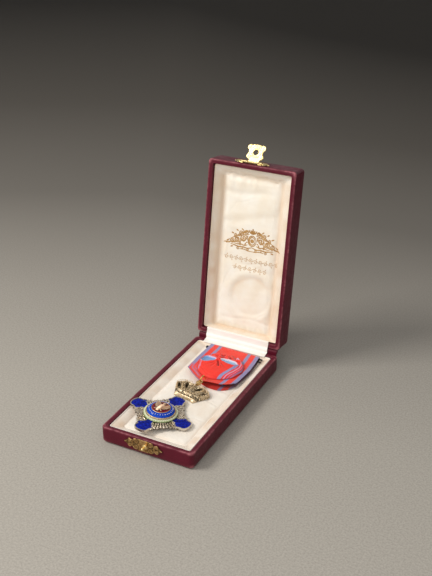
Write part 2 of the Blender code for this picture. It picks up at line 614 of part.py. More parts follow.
# ------------------------------------------------------------------------------------ ribbon
RIBBON = (              # share of the width, lower layer's end, upper layer's end, end lift of the upper layer
    (0.00, 82.0, 77.0, -0.5),
    (0.08, 79.0, 74.6, -0.3),
    (0.16, 76.0, 72.2, 0.0),
    (0.24, 73.0, 69.9, 0.4),
    (0.32, 70.0, 67.4, 0.8),
    (0.40, 67.4, 65.5, 1.0),
    (0.48, 66.0, 65.3, 1.1),
    (0.56, 65.2, 66.0, 1.1),
    (0.64, 64.8, 66.6, 1.1),
    (0.72, 64.7, 66.9, 1.0),
    (0.80, 65.2, 67.3, 0.9),
    (0.88, 66.6, 68.5, 0.8),
    (0.95, 69.4, 70.9, 0.6),
    (1.00, 73.0, 73.9, 0.5),
)
EDGES = (               # y from the front, left edge, right edge
    (64.0, -15.6, 18.6),
    (77.0, -15.6, 19.6),
    (90.0, -15.6, 20.6),
    (110.0, -15.0, 19.0),
)
LIFT_FROM = 72.5             # the upper layer's free end rises from here forward, y from the front
FOLD_Y = (109.4, 108.2)     # back of the fold at the left and right edges, y from the front


def between(table, x, column):
    for a, b in zip(table, table[1:]):
        if x <= b[0]:
            t = min(max((x - a[0]) / (b[0] - a[0]), 0.0), 1.0)
            return a[column] + t * (b[column] - a[column])
    return table[-1][column]


def ribbon_x(share, y_front):
    left, right = between(EDGES, y_front, 1), between(EDGES, y_front, 2)
    return left + share * (right - left)


def ribbon_section(share, low_end, up_end, lift):
    """Closed outline of the folded strip at one place across its width."""
    back = FOLD_Y[0] + share * (FOLD_Y[1] - FOLD_Y[0]) - FOLD_R - CLOTH_T / 2
    mid = (LOWER_Z + UPPER_Z) / 2
    edge_lift = 0.35 * max(0.0, (share - 0.8) / 0.2)
    line = []
    for k in range(6):
        t = k / 5
        line.append((low_end + t * (back - low_end), LOWER_Z + edge_lift * (1 - t), 0.0, 1.0))
    for k in range(1, 6):
        a = math.radians(-90 + 180 * k / 6)
        line.append((back + FOLD_R * math.cos(a), mid + FOLD_R * math.sin(a), math.cos(a), -math.sin(a)))
    for k in range(9):
        y = back + (k / 8) * (up_end - back)
        t = max(0.0, (LIFT_FROM - y) / max(LIFT_FROM - up_end, 1e-6))
        line.append((y, UPPER_Z + lift * t * t, 0.0, -1.0))
    h = CLOTH_T / 2
    inner, outer = [], []
    for y, z, ny, nz in line:
        # (ny, nz) points out of the fold's inside for the turn, so the inner side is the gap's side
        sy, sz = (-ny, nz) if abs(ny) > 1e-9 else (0.0, nz)
        inner.append((y + h * sy, z + h * sz))
        outer.append((y - h * sy, z - h * sz))
    pts = inner + outer[::-1]
    return [(ribbon_x(share, y), y - CASE_L / 2, z) for y, z in pts]


bm = loft([ribbon_section(*row) for row in RIBBON])
ribbon = add_object("ribbon", mesh_from(bm, "ribbon"), RIBBON_RED)
bm = torus_bm(RING_C, RING_R, RING_WIRE + 0.32, (1, 0, 0), 28, 10)
boolean(ribbon, add_object("ring_passage", mesh_from(bm, "ring_passage"), None, crown_frame, cutter=True), "DIFFERENCE")

ROSETTE_C = (3.1, 84.7 - CASE_L / 2)
ROSETTE = (             # radius, height
    (13.4, UPPER_Z + CLOTH_T / 2 + GAP),
    (14.2, 11.8),
    (13.7, 12.7),
    (11.4, 13.6),
    (7.6, 14.2),
    (3.0, 14.4),
)
rings = []
for r, z in ROSETTE:
    rings.append([(ROSETTE_C[0] + r * math.cos(2 * math.pi * k / 28), ROSETTE_C[1] + r * math.sin(2 * math.pi * k / 28), z)
                  for k in range(28)])
add_object("rosette", mesh_from(loft(rings), "rosette"), RIBBON_RED)

# pin: one bent wire under the ribbon's upper layer
PIN = ((20.2, 103.6), (0.0, 104.2), (-16.2, 104.7), (-17.0, 105.2), (-17.2, 105.8), (-16.6, 106.3), (0.0, 106.2), (19.9, 106.3))
cu = bpy.data.curves.new("pin_wire", "CURVE")
cu.dimensions = "3D"
cu.bevel_depth = 0.42 * MM
cu.bevel_resolution = 2
cu.use_fill_caps = True
sp = cu.splines.new("POLY")
sp.points.add(len(PIN) - 1)
for p, (x, y) in zip(sp.points, PIN):
    p.co = (x * MM, (y - CASE_L / 2) * MM, (LOWER_Z + UPPER_Z) / 2 * MM, 1.0)
pin = bpy.data.objects.new("pin_bar", cu)
cu.materials.append(BLACK)
PARTS.objects.link(pin)

for ob in PARTS.objects:
    if ob.type == "MESH" and ob.name in ("suspension_ring", "rosette", "ribbon"):
        ob.data.shade_smooth()
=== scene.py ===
import math

import bmesh
import bpy
import numpy as np
from mathutils import Matrix, Vector, geometry
from mathutils.bvhtree import BVHTree


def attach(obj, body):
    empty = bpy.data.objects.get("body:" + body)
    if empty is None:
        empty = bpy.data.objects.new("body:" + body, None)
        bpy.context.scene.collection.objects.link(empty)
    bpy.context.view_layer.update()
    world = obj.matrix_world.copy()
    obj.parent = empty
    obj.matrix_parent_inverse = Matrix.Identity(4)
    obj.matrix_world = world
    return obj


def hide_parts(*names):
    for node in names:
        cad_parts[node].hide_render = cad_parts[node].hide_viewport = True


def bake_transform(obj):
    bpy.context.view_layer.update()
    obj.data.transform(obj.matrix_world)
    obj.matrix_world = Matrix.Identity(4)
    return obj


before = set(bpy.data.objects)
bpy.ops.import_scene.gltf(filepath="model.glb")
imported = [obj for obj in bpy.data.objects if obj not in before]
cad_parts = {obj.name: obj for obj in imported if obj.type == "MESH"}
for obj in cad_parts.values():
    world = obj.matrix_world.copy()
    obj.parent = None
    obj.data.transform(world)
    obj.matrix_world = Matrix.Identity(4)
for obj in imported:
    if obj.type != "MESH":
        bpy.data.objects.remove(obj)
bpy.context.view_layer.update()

MM = 0.001
scene = bpy.context.scene
scene.view_settings.view_transform = "Standard"
scene.view_settings.look = "None"

# ------------------------------------------------------------------ dimensions, mm, as in the CAD
CASE_W, CASE_L, BASE_H, RIM_W = 58.0, 114.1, 10.2, 3.0
HW, HL = CASE_W / 2, CASE_L / 2
LID_H, RIM_GAP, LID_TOP_T = 15.2, 0.3, 2.0
RIM_Z = BASE_H + RIM_GAP
TOP_Z = RIM_Z + LID_H
HINGE_Y, HINGE_Z = HL + 1.71, BASE_H + 1.48
LID_OPEN = -98.5
LIP_Z, BED_Z = 9.6, 7.3


# ------------------------------------------------------------------ placing
def T(x, y, z):
    return Matrix.Translation(Vector((x, y, z)) * MM)


def RX(deg):
    return Matrix.Rotation(math.radians(deg), 4, "X")


def RZ(deg):
    return Matrix.Rotation(math.radians(deg), 4, "Z")


def tilted_frame(origin, turn_deg, rise):
    a = math.radians(turn_deg)
    ex = Vector((math.cos(a), -math.sin(a), 0))
    ey = Vector((math.sin(a), math.cos(a), 0))
    for v in (ex, ey):
        v.z = rise[0] * v.x + rise[1] * v.y
    ex.normalize()
    ez = ex.cross(ey).normalized()
    ey = ez.cross(ex)
    return Matrix.Translation(Vector(origin) * MM) @ Matrix((ex, ey, ez)).transposed().to_4x4()


LID = T(0, HINGE_Y, HINGE_Z) @ RX(LID_OPEN) @ T(0, -HINGE_Y, -HINGE_Z)
UPRIGHT = RX(90)
STAR = tilted_frame((-5.0, 25.35 - HL, 11.1), 7.7, (-0.072, -0.034))
CROWN = tilted_frame((-2.3, 47.2 - HL, 9.5), 8.0, (-0.05, 0.105))
HASP_PIN = (0.2, -HL - 1.25, 12.2)
HASP = LID @ T(*HASP_PIN) @ RX(-115.0)
ONE = Matrix.Identity(4)


# ------------------------------------------------------------------ numbers
def srgb(r, g, b):
    out = []
    for c in (r, g, b):
        c /= 255.0
        out.append(c / 12.92 if c <= 0.04045 else ((c + 0.055) / 1.055) ** 2.4)
    return tuple(out)


def sst(a, b, x):
    t = np.clip((np.asarray(x, float) - a) / (b - a), 0, 1)
    return t * t * (3 - 2 * t)


def gauss(x, s):
    return np.exp(-(np.asarray(x, float) / s) ** 2)


def vnoise(x, y, z=0.0, seed=0):
    """Smooth value noise, -1 to 1, one lattice cell per unit."""
    x, y, z = np.broadcast_arrays(np.asarray(x, float), np.asarray(y, float), np.asarray(z, float))
    ix, iy, iz = np.floor(x).astype(np.int64), np.floor(y).astype(np.int64), np.floor(z).astype(np.int64)
    fx, fy, fz = x - ix, y - iy, z - iz
    fx, fy, fz = (f * f * f * (f * (f * 6 - 15) + 10) for f in (fx, fy, fz))

    def h(a, b, c):
        n = (a * 374761393 + b * 668265263 + c * 1274126177 + seed * 974634777) & 0xFFFFFFFF
        n = ((n ^ (n >> 13)) * 1103515245) & 0xFFFFFFFF
        n = (n ^ (n >> 16)) & 0xFFFF
        return n / 32767.5 - 1.0

    v = 0
    for dx in (0, 1):
        for dy in (0, 1):
            for dz in (0, 1):
                w = (fx if dx else 1 - fx) * (fy if dy else 1 - fy) * (fz if dz else 1 - fz)
                v = v + w * h(ix + dx, iy + dy, iz + dz)
    return v


def fbm(x, y, z=0.0, seed=0, octaves=4):
    v, a, f = 0, 1.0, 1.0
    for k in range(octaves):
        v = v + a * vnoise(np.asarray(x) * f, np.asarray(y) * f, np.asarray(z) * f + 7.3 * k, seed + k)
        a *= 0.5
        f *= 2.03
    return v


# ------------------------------------------------------------------ making objects
def put(name, verts, faces, mat, body="root", slot=None, M=ONE, repl=(), sharp=38.0, attrs=None, smooth=True,
        recalc=True, scale=True):
    """A piece from millimetre vertices in the frame M, moved to its place in the row frame."""
    v = np.asarray(verts, float).reshape(-1, 3)
    if scale:
        v = v * MM
    m = np.array(M)
    v = v @ m[:3, :3].T + m[:3, 3]
    me = bpy.data.meshes.new(name)
    me.from_pydata(v.tolist(), [], [tuple(int(i) for i in f) for f in faces])
    for key, val in (attrs or {}).items():
        val = np.asarray(val, np.float32)
        if val.ndim == 1:
            a = me.attributes.new(key, "FLOAT", "POINT")
            a.data.foreach_set("value", val)
        else:
            a = me.attributes.new(key, "FLOAT_COLOR", "POINT")
            c = np.ones((len(val), 4), np.float32)
            c[:, :3] = val
            a.data.foreach_set("color", c.ravel())
    if recalc:
        bm = bmesh.new()
        bm.from_mesh(me)
        bmesh.ops.recalc_face_normals(bm, faces=bm.faces)
        bm.to_mesh(me)
        bm.free()
    me.materials.append(mat.m if isinstance(mat, Mat) else mat)
    if smooth:
        me.shade_smooth()
        if sharp:
            me.set_sharp_from_angle(angle=math.radians(sharp))
    ob = bpy.data.objects.new(name, me)
    scene.collection.objects.link(ob)
    if body:
        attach(ob, body)
        if repl:
            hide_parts(*repl)
    return ob


def loft_faces(n_rings, n, cap0=True, cap1=True, closed=True, ring_closed=False):
    f = []
    rng = n if closed else n - 1
    last = n_rings if ring_closed else n_rings - 1
    for r in range(last):
        a, b = r * n, ((r + 1) % n_rings) * n
        for i in range(rng):
            j = (i + 1) % n
            f.append((a + i, a + j, b + j, b + i))
    if cap0:
        f.append(tuple(range(n - 1, -1, -1)))
    if cap1:
        f.append(tuple((n_rings - 1) * n + i for i in range(n)))
    return f


def rr(hx, y0, y1, r, nx, ny, nc):
    """Rounded rectangle as a fixed number of points, counter-clockwise from the right side's lower end."""
    p = []
    hx, y0, y1 = float(hx), float(y0), float(y1)
    sides = (
        ((hx, y0 + r), (hx, y1 - r), ny, (hx - r, y1 - r), 0),
        ((hx - r, y1), (-hx + r, y1), nx, (-hx + r, y1 - r), 90),
        ((-hx, y1 - r), (-hx, y0 + r), ny, (-hx + r, y0 + r), 180),
        ((-hx + r, y0), (hx - r, y0), nx, (hx - r, y0 + r), 270),
    )
    for a, b, n, c, start in sides:
        for k in range(n):
            t = k / n
            p.append((a[0] + t * (b[0] - a[0]), a[1] + t * (b[1] - a[1])))
        for k in range(nc):
            t = math.radians(start + 90 * k / nc)
            p.append((c[0] + r * math.cos(t), c[1] + r * math.sin(t)))
    return np.array(p)


def catmull(pts, n, closed=True):
    p = np.asarray(pts, float)
    m = len(p)
    out = []
    last = m if closed else m - 1
    for i in range(last):
        if closed:
            p0, p1, p2, p3 = p[(i - 1) % m], p[i], p[(i + 1) % m], p[(i + 2) % m]
        else:
            p0, p1, p2, p3 = p[max(i - 1, 0)], p[i], p[i + 1], p[min(i + 2, m - 1)]
        for k in range(n):
            t = k / n
            out.append(0.5 * ((2 * p1) + (p2 - p0) * t + (2 * p0 - 5 * p1 + 4 * p2 - p3) * t * t
                              + (3 * p1 - p0 - 3 * p2 + p3) * t ** 3))
    if not closed:
        out.append(p[-1])
    return np.array(out)


def area2(o):
    x, y = o[:, 0], o[:, 1]
    return float(np.sum(x * np.roll(y, -1) - np.roll(x, -1) * y)) / 2


def inset(o, d):
    """Counter-clockwise outline moved inwards."""
    o = np.asarray(o, float)
    a = o - np.roll(o, 1, 0)
    b = np.roll(o, -1, 0) - o
    a /= np.maximum(np.linalg.norm(a, axis=1, keepdims=True), 1e-9)
    b /= np.maximum(np.linalg.norm(b, axis=1, keepdims=True), 1e-9)
    na = np.stack([-a[:, 1], a[:, 0]], 1)
    nb = np.stack([-b[:, 1], b[:, 0]], 1)
    m = na + nb
    m /= np.maximum(np.linalg.norm(m, axis=1, keepdims=True), 1e-9)
    k = np.maximum(np.sum(m * na, 1, keepdims=True), 0.6)
    return o + m * d / k


def seg_dist(p, loop, closed=True):
    """Distance of each point to a polyline."""
    p = np.asarray(p, float)
    a = np.asarray(loop, float)
    b = np.roll(a, -1, 0)
    if not closed:
        a, b = a[:-1], b[:-1]
    best = np.full(len(p), 1e9)
    ab = b - a
    L = np.maximum((ab ** 2).sum(1), 1e-12)
    for i in range(0, len(p), 4000):
        q = p[i:i + 4000, None, :] - a[None]
        t = np.clip((q * ab[None]).sum(2) / L, 0, 1)
        d = np.linalg.norm(q - t[..., None] * ab[None], axis=2)
        best[i:i + 4000] = d.min(1)
    return best


def inside(p, loop):
    p, a = np.asarray(p, float), np.asarray(loop, float)
    b = np.roll(a, -1, 0)
    c = np.zeros(len(p), bool)
    for (x0, y0), (x1, y1) in zip(a, b):
        hit = (y0 > p[:, 1]) != (y1 > p[:, 1])
        if y1 != y0:
            c ^= hit & (p[:, 0] < (x1 - x0) * (p[:, 1] - y0) / (y1 - y0) + x0)
    return c


def resample(loop, ds, closed=True):
    a = np.asarray(loop, float)
    if closed:
        a = np.vstack([a, a[:1]])
    L = np.concatenate([[0], np.cumsum(np.linalg.norm(np.diff(a, axis=0), axis=1))])
    n = max(int(round(L[-1] / ds)), 3)
    t = np.linspace(0, L[-1], n + 1)
    out = np.stack([np.interp(t, L, a[:, k]) for k in range(2)], 1)
    return out[:-1] if closed else out


def relief(outer, holes, ds, top, base):
    """Closed solid over a flat outline: the upper face follows top(x, y, d), d being the distance to the edge."""
    outer = resample(outer, ds)
    if area2(outer) < 0:
        outer = outer[::-1]
    holes = [resample(h, ds) for h in holes]
    lo, hi = outer.min(0), outer.max(0)
    g = []
    rows = int((hi[1] - lo[1]) / (ds * 0.87)) + 1
    for r in range(rows):
        y = lo[1] + r * ds * 0.87
        xs = np.arange(lo[0] + (ds / 2 if r % 2 else 0), hi[0], ds)
        g.append(np.stack([xs, np.full_like(xs, y)], 1))
    g = np.vstack(g)
    g = g[inside(g, outer)]
    g = g[seg_dist(g, outer) > ds * 0.55]
    for h in holes:
        g = g[~inside(g, h)]
        g = g[seg_dist(g, h) > ds * 0.55]
    loops = [outer] + holes
    pts, edges = [], []
    for lp in loops:
        s = len(pts)
        pts += [Vector(q) for q in lp]
        edges += [(s + i, s + (i + 1) % len(lp)) for i in range(len(lp))]
    pts += [Vector(q) for q in g]
    res = geometry.delaunay_2d_cdt(pts, edges, [], 1, 1e-6)
    v = np.array([tuple(q) for q in res[0]])
    tri = np.array([tuple(f) for f in res[2]])
    c = v[tri].mean(1)
    keep = inside(c, outer)
    for h in holes:
        keep &= ~inside(c, h)
    tri = tri[keep]
    used = np.unique(tri)
    back = -np.ones(len(v), int)
    back[used] = np.arange(len(used))
    v, tri = v[used], back[tri]
    d = seg_dist(v, outer)
    for h in holes:
        d = np.minimum(d, seg_dist(v, h))
    e1, e2, e3 = v[tri[:, 0]], v[tri[:, 1]], v[tri[:, 2]]
    cr = (e2 - e1)[:, 0] * (e3 - e1)[:, 1] - (e2 - e1)[:, 1] * (e3 - e1)[:, 0]
    tri = np.where((cr > 0)[:, None], tri, tri[:, ::-1])
    z = top(v[:, 0], v[:, 1], d)
    zb = base(v[:, 0], v[:, 1], d) if callable(base) else np.full(len(v), float(base))
    n = len(v)
    V = np.vstack([np.column_stack([v, z]), np.column_stack([v, zb])])
    F = [tuple(t) for t in tri] + [tuple(t[::-1] + n) for t in tri]
    cnt = {}
    for t in tri:
        for i in range(3):
            e = (int(t[i]), int(t[(i + 1) % 3]))
            cnt[e] = cnt.get(e, 0) + 1
    for (a, b) in list(cnt):
        if (b, a) not in cnt:
            F.append((b, a, a + n, b + n))
    return V, F, d


def merged(parts):
    """Several (verts, faces) as one."""
    V, F, n = [], [], 0
    for v, f in parts:
        v = np.asarray(v, float).reshape(-1, 3)
        V.append(v)
        F += [tuple(int(i) + n for i in q) for q in f]
        n += len(v)
    return np.vstack(V), F


def moved(vf, M=None, t=(0, 0, 0)):
    v = np.asarray(vf[0], float)
    if M is not None:
        v = v @ np.asarray(M, float).T
    return v + np.asarray(t, float), vf[1]


def rot2(a):
    c, s = math.cos(a), math.sin(a)
    return np.array([[c, -s, 0], [s, c, 0], [0, 0, 1.0]])


def ball(r, nu=16, nv=10, squash=1.0):
    v, f = [(0, 0, r * squash)], []
    for j in range(1, nv):
        p = math.pi * j / nv
        for i in range(nu):
            a = 2 * math.pi * i / nu
            v.append((r * math.sin(p) * math.cos(a), r * math.sin(p) * math.sin(a), r * squash * math.cos(p)))
    v.append((0, 0, -r * squash))
    for i in range(nu):
        f.append((0, 1 + i, 1 + (i + 1) % nu))
    for j in range(nv - 2):
        for i in range(nu):
            a, b = 1 + j * nu + i, 1 + j * nu + (i + 1) % nu
            f.append((a, a + nu, b + nu, b))
    s = 1 + (nv - 2) * nu
    for i in range(nu):
        f.append((s + i, len(v) - 1, s + (i + 1) % nu))
    return np.array(v), f


def lathe(profile, n=96):
    """Closed (r, z) profile turned about Z."""
    p = np.asarray(profile, float)
    a = np.linspace(0, 2 * math.pi, n, endpoint=False)
    V, F = [], []
    m = len(p)
    for r, z in p:
        V.append(np.column_stack([r * np.cos(a), r * np.sin(a), np.full(n, z)]))
    V = np.vstack(V)
    for k in range(m):
        q = (k + 1) % m
        if p[k][0] < 1e-6 and p[q][0] < 1e-6:
            continue
        for i in range(n):
            j = (i + 1) % n
            F.append((k * n + i, k * n + j, q * n + j, q * n + i))
    return V, F


def torus(R, r, n=64, m=16):
    V, F = [], []
    for i in range(n):
        a = 2 * math.pi * i / n
        for j in range(m):
            b = 2 * math.pi * j / m
            V.append(((R + r * math.cos(b)) * math.cos(a), (R + r * math.cos(b)) * math.sin(a), r * math.sin(b)))
    for i in range(n):
        for j in range(m):
            F.append((i * m + j, ((i + 1) % n) * m + j, ((i + 1) % n) * m + (j + 1) % m, i * m + (j + 1) % m))
    return np.array(V), F


def tube(path, radius, m=10, up=(0, 0, 1), closed=False, flat=1.0):
    """Round or flattened wire along a path; radius may vary point by point."""
    p = np.asarray(path, float)
    n = len(p)
    rad = np.broadcast_to(np.asarray(radius, float), (n,))
    t = np.gradient(p, axis=0)
    if closed:
        t = np.roll(p, -1, 0) - np.roll(p, 1, 0)
    t /= np.maximum(np.linalg.norm(t, axis=1, keepdims=True), 1e-9)
    u = np.asarray(up, float)
    s = np.cross(t, u)
    s /= np.maximum(np.linalg.norm(s, axis=1, keepdims=True), 1e-9)
    w = np.cross(s, t)
    V = []
    for i in range(n):
        for j in range(m):
            a = 2 * math.pi * j / m
            V.append(p[i] + rad[i] * (math.cos(a) * s[i] + flat * math.sin(a) * w[i]))
    return np.array(V), loft_faces(n, m, cap0=not closed, cap1=not closed, ring_closed=closed)


# ------------------------------------------------------------------ node helpers
class Mat:
    def __init__(self, name, base=(0.8, 0.8, 0.8), rough=0.5, metal=0.0, **sockets):
        self.m = bpy.data.materials.new(name)
        self.m.use_nodes = True
        self.nt = self.m.node_tree
        self.b = self.nt.nodes["Principled BSDF"]
        self.b.inputs["Base Color"].default_value = (*base, 1)
        self.b.inputs["Roughness"].default_value = rough
        self.b.inputs["Metallic"].default_value = metal
        for k, v in sockets.items():
            s = self.b.inputs[k.replace("_", " ")]
            s.default_value = (*v, 1) if isinstance(v, tuple) and len(v) == 3 and s.type == "RGBA" else v
        self._co = None

    def node(self, kind, **kw):
        n = self.nt.nodes.new(kind)
        for k, v in kw.items():
            setattr(n, k, v)
        return n

    def link(self, a, b):
        self.nt.links.new(a, b)

    @property
    def co(self):
        if self._co is None:
            self._co = self.node("ShaderNodeTexCoord").outputs["Object"]
        return self._co

    def scaled(self, sx, sy, sz, rot=(0, 0, 0)):
        mp = self.node("ShaderNodeMapping")
        mp.inputs["Scale"].default_value = (sx, sy, sz)
        mp.inputs["Rotation"].default_value = rot
        self.link(self.co, mp.inputs["Vector"])
        return mp.outputs["Vector"]

    def noise(self, scale, detail=3.0, rough=0.5, co=None, dist=0.0):
        n = self.node("ShaderNodeTexNoise")
        n.inputs["Scale"].default_value = scale
        n.inputs["Detail"].default_value = detail
        n.inputs["Roughness"].default_value = rough
        n.inputs["Distortion"].default_value = dist
        self.link(co or self.co, n.inputs["Vector"])
        return n.outputs["Fac"]

    def voronoi(self, scale, feature="F1", co=None, rand=1.0, out="Distance"):
        n = self.node("ShaderNodeTexVoronoi", feature=feature)
        n.inputs["Scale"].default_value = scale
        n.inputs["Randomness"].default_value = rand
        self.link(co or self.co, n.inputs["Vector"])
        return n.outputs[out]

    def wave(self, scale, co=None, direction="X", distortion=0.0, profile="SIN"):
        n = self.node("ShaderNodeTexWave", wave_type="BANDS", bands_direction=direction, wave_profile=profile)
        n.inputs["Scale"].default_value = scale
        n.inputs["Distortion"].default_value = distortion
        self.link(co or self.co, n.inputs["Vector"])
        return n.outputs["Fac"]

    def attr(self, name, out="Fac"):
        n = self.node("ShaderNodeAttribute", attribute_name=name)
        return n.outputs[out]

    def ramp(self, fac, stops, interp="LINEAR"):
        n = self.node("ShaderNodeValToRGB")
        n.color_ramp.interpolation = interp
        e = n.color_ramp.elements
        while len(e) < len(stops):
            e.new(0.5)
        for k, (pos, col) in enumerate(stops):
            e[k].position = pos
            c = (col, col, col) if isinstance(col, (int, float)) else col
            e[k].color = (*c, 1)
        self.link(fac, n.inputs["Fac"])
        return n.outputs["Color"]

    def mix(self, fac, a, b, blend="MIX"):
        n = self.node("ShaderNodeMix", data_type="RGBA", blend_type=blend)
        n.clamp_factor = True
        for sock, v in ((n.inputs["Factor"], fac), (n.inputs[6], a), (n.inputs[7], b)):
            if isinstance(v, (int, float)):
                sock.default_value = v
            elif isinstance(v, tuple):
                sock.default_value = (*v, 1)
            else:
                self.link(v, sock)
        return n.outputs[2]

    def math(self, op, a, b=0.0, clamp=False):
        n = self.node("ShaderNodeMath", operation=op, use_clamp=clamp)
        for sock, v in zip(n.inputs, (a, b)):
            if isinstance(v, (int, float)):
                sock.default_value = v
            else:
                self.link(v, sock)
        return n.outputs[0]

    def bump(self, height, dist, strength=1.0, normal=None):
        n = self.node("ShaderNodeBump")
        n.inputs["Distance"].default_value = dist
        n.inputs["Strength"].default_value = strength
        self.link(height, n.inputs["Height"])
        if normal is not None:
            self.link(normal, n.inputs["Normal"])
        return n.outputs["Normal"]

    def color(self, c):
        self.link(c, self.b.inputs["Base Color"])

    def rough(self, c):
        self.link(c, self.b.inputs["Roughness"])

    def normal(self, c):
        self.link(c, self.b.inputs["Normal"])
        return self


# ------------------------------------------------------------------ materials
def leather():
    m = Mat("leather_burgundy", rough=0.42, Specular_IOR_Level=0.22)
    big = m.noise(90, 4, 0.6)
    fine = m.noise(900, 3, 0.6)
    dark = m.mix(big, srgb(88, 12, 32), srgb(112, 24, 48))
    col = m.mix(m.math("MULTIPLY", fine, 0.55), dark, srgb(70, 20, 30))
    pits = m.voronoi(1500, "SMOOTH_F1")
    col = m.mix(m.math("MULTIPLY", m.ramp(pits, [(0.0, 1.0), (0.5, 0.0)]), 0.28), col, srgb(52, 14, 22))
    wear = m.attr("wear")
    scuff = m.noise(420, 4, 0.7)
    w = m.math("MULTIPLY", wear, m.ramp(scuff, [(0.34, 0.15), (0.62, 1.0)]))
    col = m.mix(w, col, srgb(176, 104, 112))
    spot = m.ramp(m.noise(160, 5, 0.75), [(0.66, 0.0), (0.74, 1.0)])
    col = m.mix(m.math("MULTIPLY", spot, 0.3), col, srgb(140, 70, 78))
    m.color(col)
    m.rough(m.ramp(m.noise(300, 3), [(0.3, 0.34), (0.7, 0.52)]))
    h = m.math("ADD", m.math("MULTIPLY", pits, 0.8), m.math("MULTIPLY", m.voronoi(3300), 0.35))
    h = m.math("ADD", h, m.math("MULTIPLY", m.noise(420, 4, 0.6), 0.6))
    return m.normal(m.bump(h, 0.00012, 0.75))


def satin(name, a, b, sheen=0.35, rough=0.42):
    m = Mat(name, rough=rough, Specular_IOR_Level=0.5, Sheen_Weight=sheen, Sheen_Roughness=0.4)
    big = m.noise(70, 3, 0.55)
    col = m.mix(m.ramp(big, [(0.35, 0.0), (0.65, 1.0)]), a, b)
    stain = m.ramp(m.noise(38, 4, 0.6), [(0.55, 0.0), (0.75, 1.0)])
    col = m.mix(m.math("MULTIPLY", stain, 0.25), col, srgb(230, 206, 176))
    # age_and_shade tints the satin tan: random yellowing plus painted shade on the slopes and along the creases
    age_and_shade = m.attr("age_and_shade")
    col = m.mix(m.math("MULTIPLY", age_and_shade, 0.85), col, srgb(216, 172, 124))
    m.color(col)
    warp = m.wave(2600, direction="X", distortion=0.6)
    weft = m.wave(1500, direction="Y", distortion=0.8)
    h = m.math("ADD", m.math("MULTIPLY", warp, 0.5), m.math("MULTIPLY", weft, 0.3))
    h = m.math("ADD", h, m.math("MULTIPLY", m.noise(500, 3), 0.5))
    m.rough(m.ramp(m.noise(220, 3), [(0.3, rough - 0.06), (0.7, rough + 0.1)]))
    return m.normal(m.bump(h, 0.00003, 0.5))


def metal(name, light, dark, rough=0.26, darkening=0.5, scale=500):
    m = Mat(name, rough=rough, metal=1.0)
    n = m.noise(scale, 5, 0.65)
    col = m.mix(m.ramp(n, [(0.35, 0.0), (0.7, 1.0)]), light, dark)
    # darkens towards near black: tarnish in the hollows, and on the crown also painted shade in the slots
    dirt = m.attr("dirt")
    col = m.mix(m.math("MULTIPLY", dirt, darkening), col, (0.02, 0.014, 0.008))
    m.color(col)
    r = m.ramp(m.noise(scale * 1.7, 4, 0.6), [(0.3, rough * 0.75), (0.7, min(rough * 1.7, 1.0))])
    m.rough(r)
    h = m.math("ADD", m.noise(scale * 2.2, 4, 0.6), m.math("MULTIPLY", m.voronoi(scale * 1.6), 0.4))
    return m.normal(m.bump(h, 0.00004, 0.55))


def enamel(name, deep, bright, rough=0.1, scale=900, pale=None):
    m = Mat(name, rough=rough, Coat_Weight=0.06, Coat_Roughness=0.05, Specular_IOR_Level=0.1)
    n = m.noise(scale, 4, 0.65)
    col = m.mix(m.ramp(n, [(0.38, 0.0), (0.66, 1.0)]), deep, bright)
    edge = m.attr("edge")
    col = m.mix(m.math("MULTIPLY", edge, 0.8), col, pale or bright)
    m.color(col)
    m.rough(m.ramp(m.noise(scale * 0.6, 3), [(0.3, rough * 0.6), (0.7, rough * 2.2)]))
    return m.normal(m.bump(m.noise(scale * 0.5, 3, 0.6), 0.00005, 0.35))


LEATHER = leather()
SATIN = satin("satin_cream", srgb(253, 247, 238), srgb(248, 239, 226), rough=0.38)
SATIN_LID = satin("satin_lid", srgb(254, 249, 238), srgb(250, 240, 222), rough=0.34)
SATIN_WHITE = satin("satin_white", srgb(255, 252, 246), srgb(252, 248, 240), sheen=0.5)
BRASS = metal("brass_clasp", srgb(240, 205, 125), srgb(196, 150, 74), rough=0.24, darkening=0.85)
BRASS_AGED = metal("brass_aged", srgb(222, 184, 128), srgb(150, 104, 56), rough=0.3, darkening=0.92, scale=700)
# lighter, lit copy of the clasp brass: painted highlight on the knob, hasp and lid plate
BRASS_LIT = metal("brass_lit_copy", srgb(255, 236, 176), srgb(238, 206, 136), rough=0.3, darkening=0.8)
SILVER = metal("silver_gilt", srgb(244, 239, 230), srgb(204, 192, 172), rough=0.24, darkening=0.9, scale=700)
RAYS = metal("ray_metal", srgb(250, 240, 226), srgb(204, 186, 162), rough=0.24, darkening=0.9, scale=900)
GILT = metal("gilt_crown", srgb(250, 232, 200), srgb(206, 176, 132), rough=0.4, darkening=0.93, scale=800)
BLACK = metal("blackened_steel", (0.03, 0.03, 0.032), (0.012, 0.012, 0.014), rough=0.35, darkening=0.5)
BLUE = enamel("enamel_blue", (0.0008, 0.0015, 0.075), (0.001, 0.018, 0.46), scale=700, pale=(0.001, 0.02, 0.40))
RING_BLUE = enamel("enamel_ring_blue", (0.004, 0.03, 0.34), (0.012, 0.09, 0.62), scale=1400)
GREEN = enamel("enamel_green", srgb(142, 170, 96), srgb(212, 220, 180), scale=1500, pale=srgb(240, 238, 214))
RED = enamel("enamel_red", (0.07, 0.003, 0.01), (0.27, 0.014, 0.03), scale=1300)


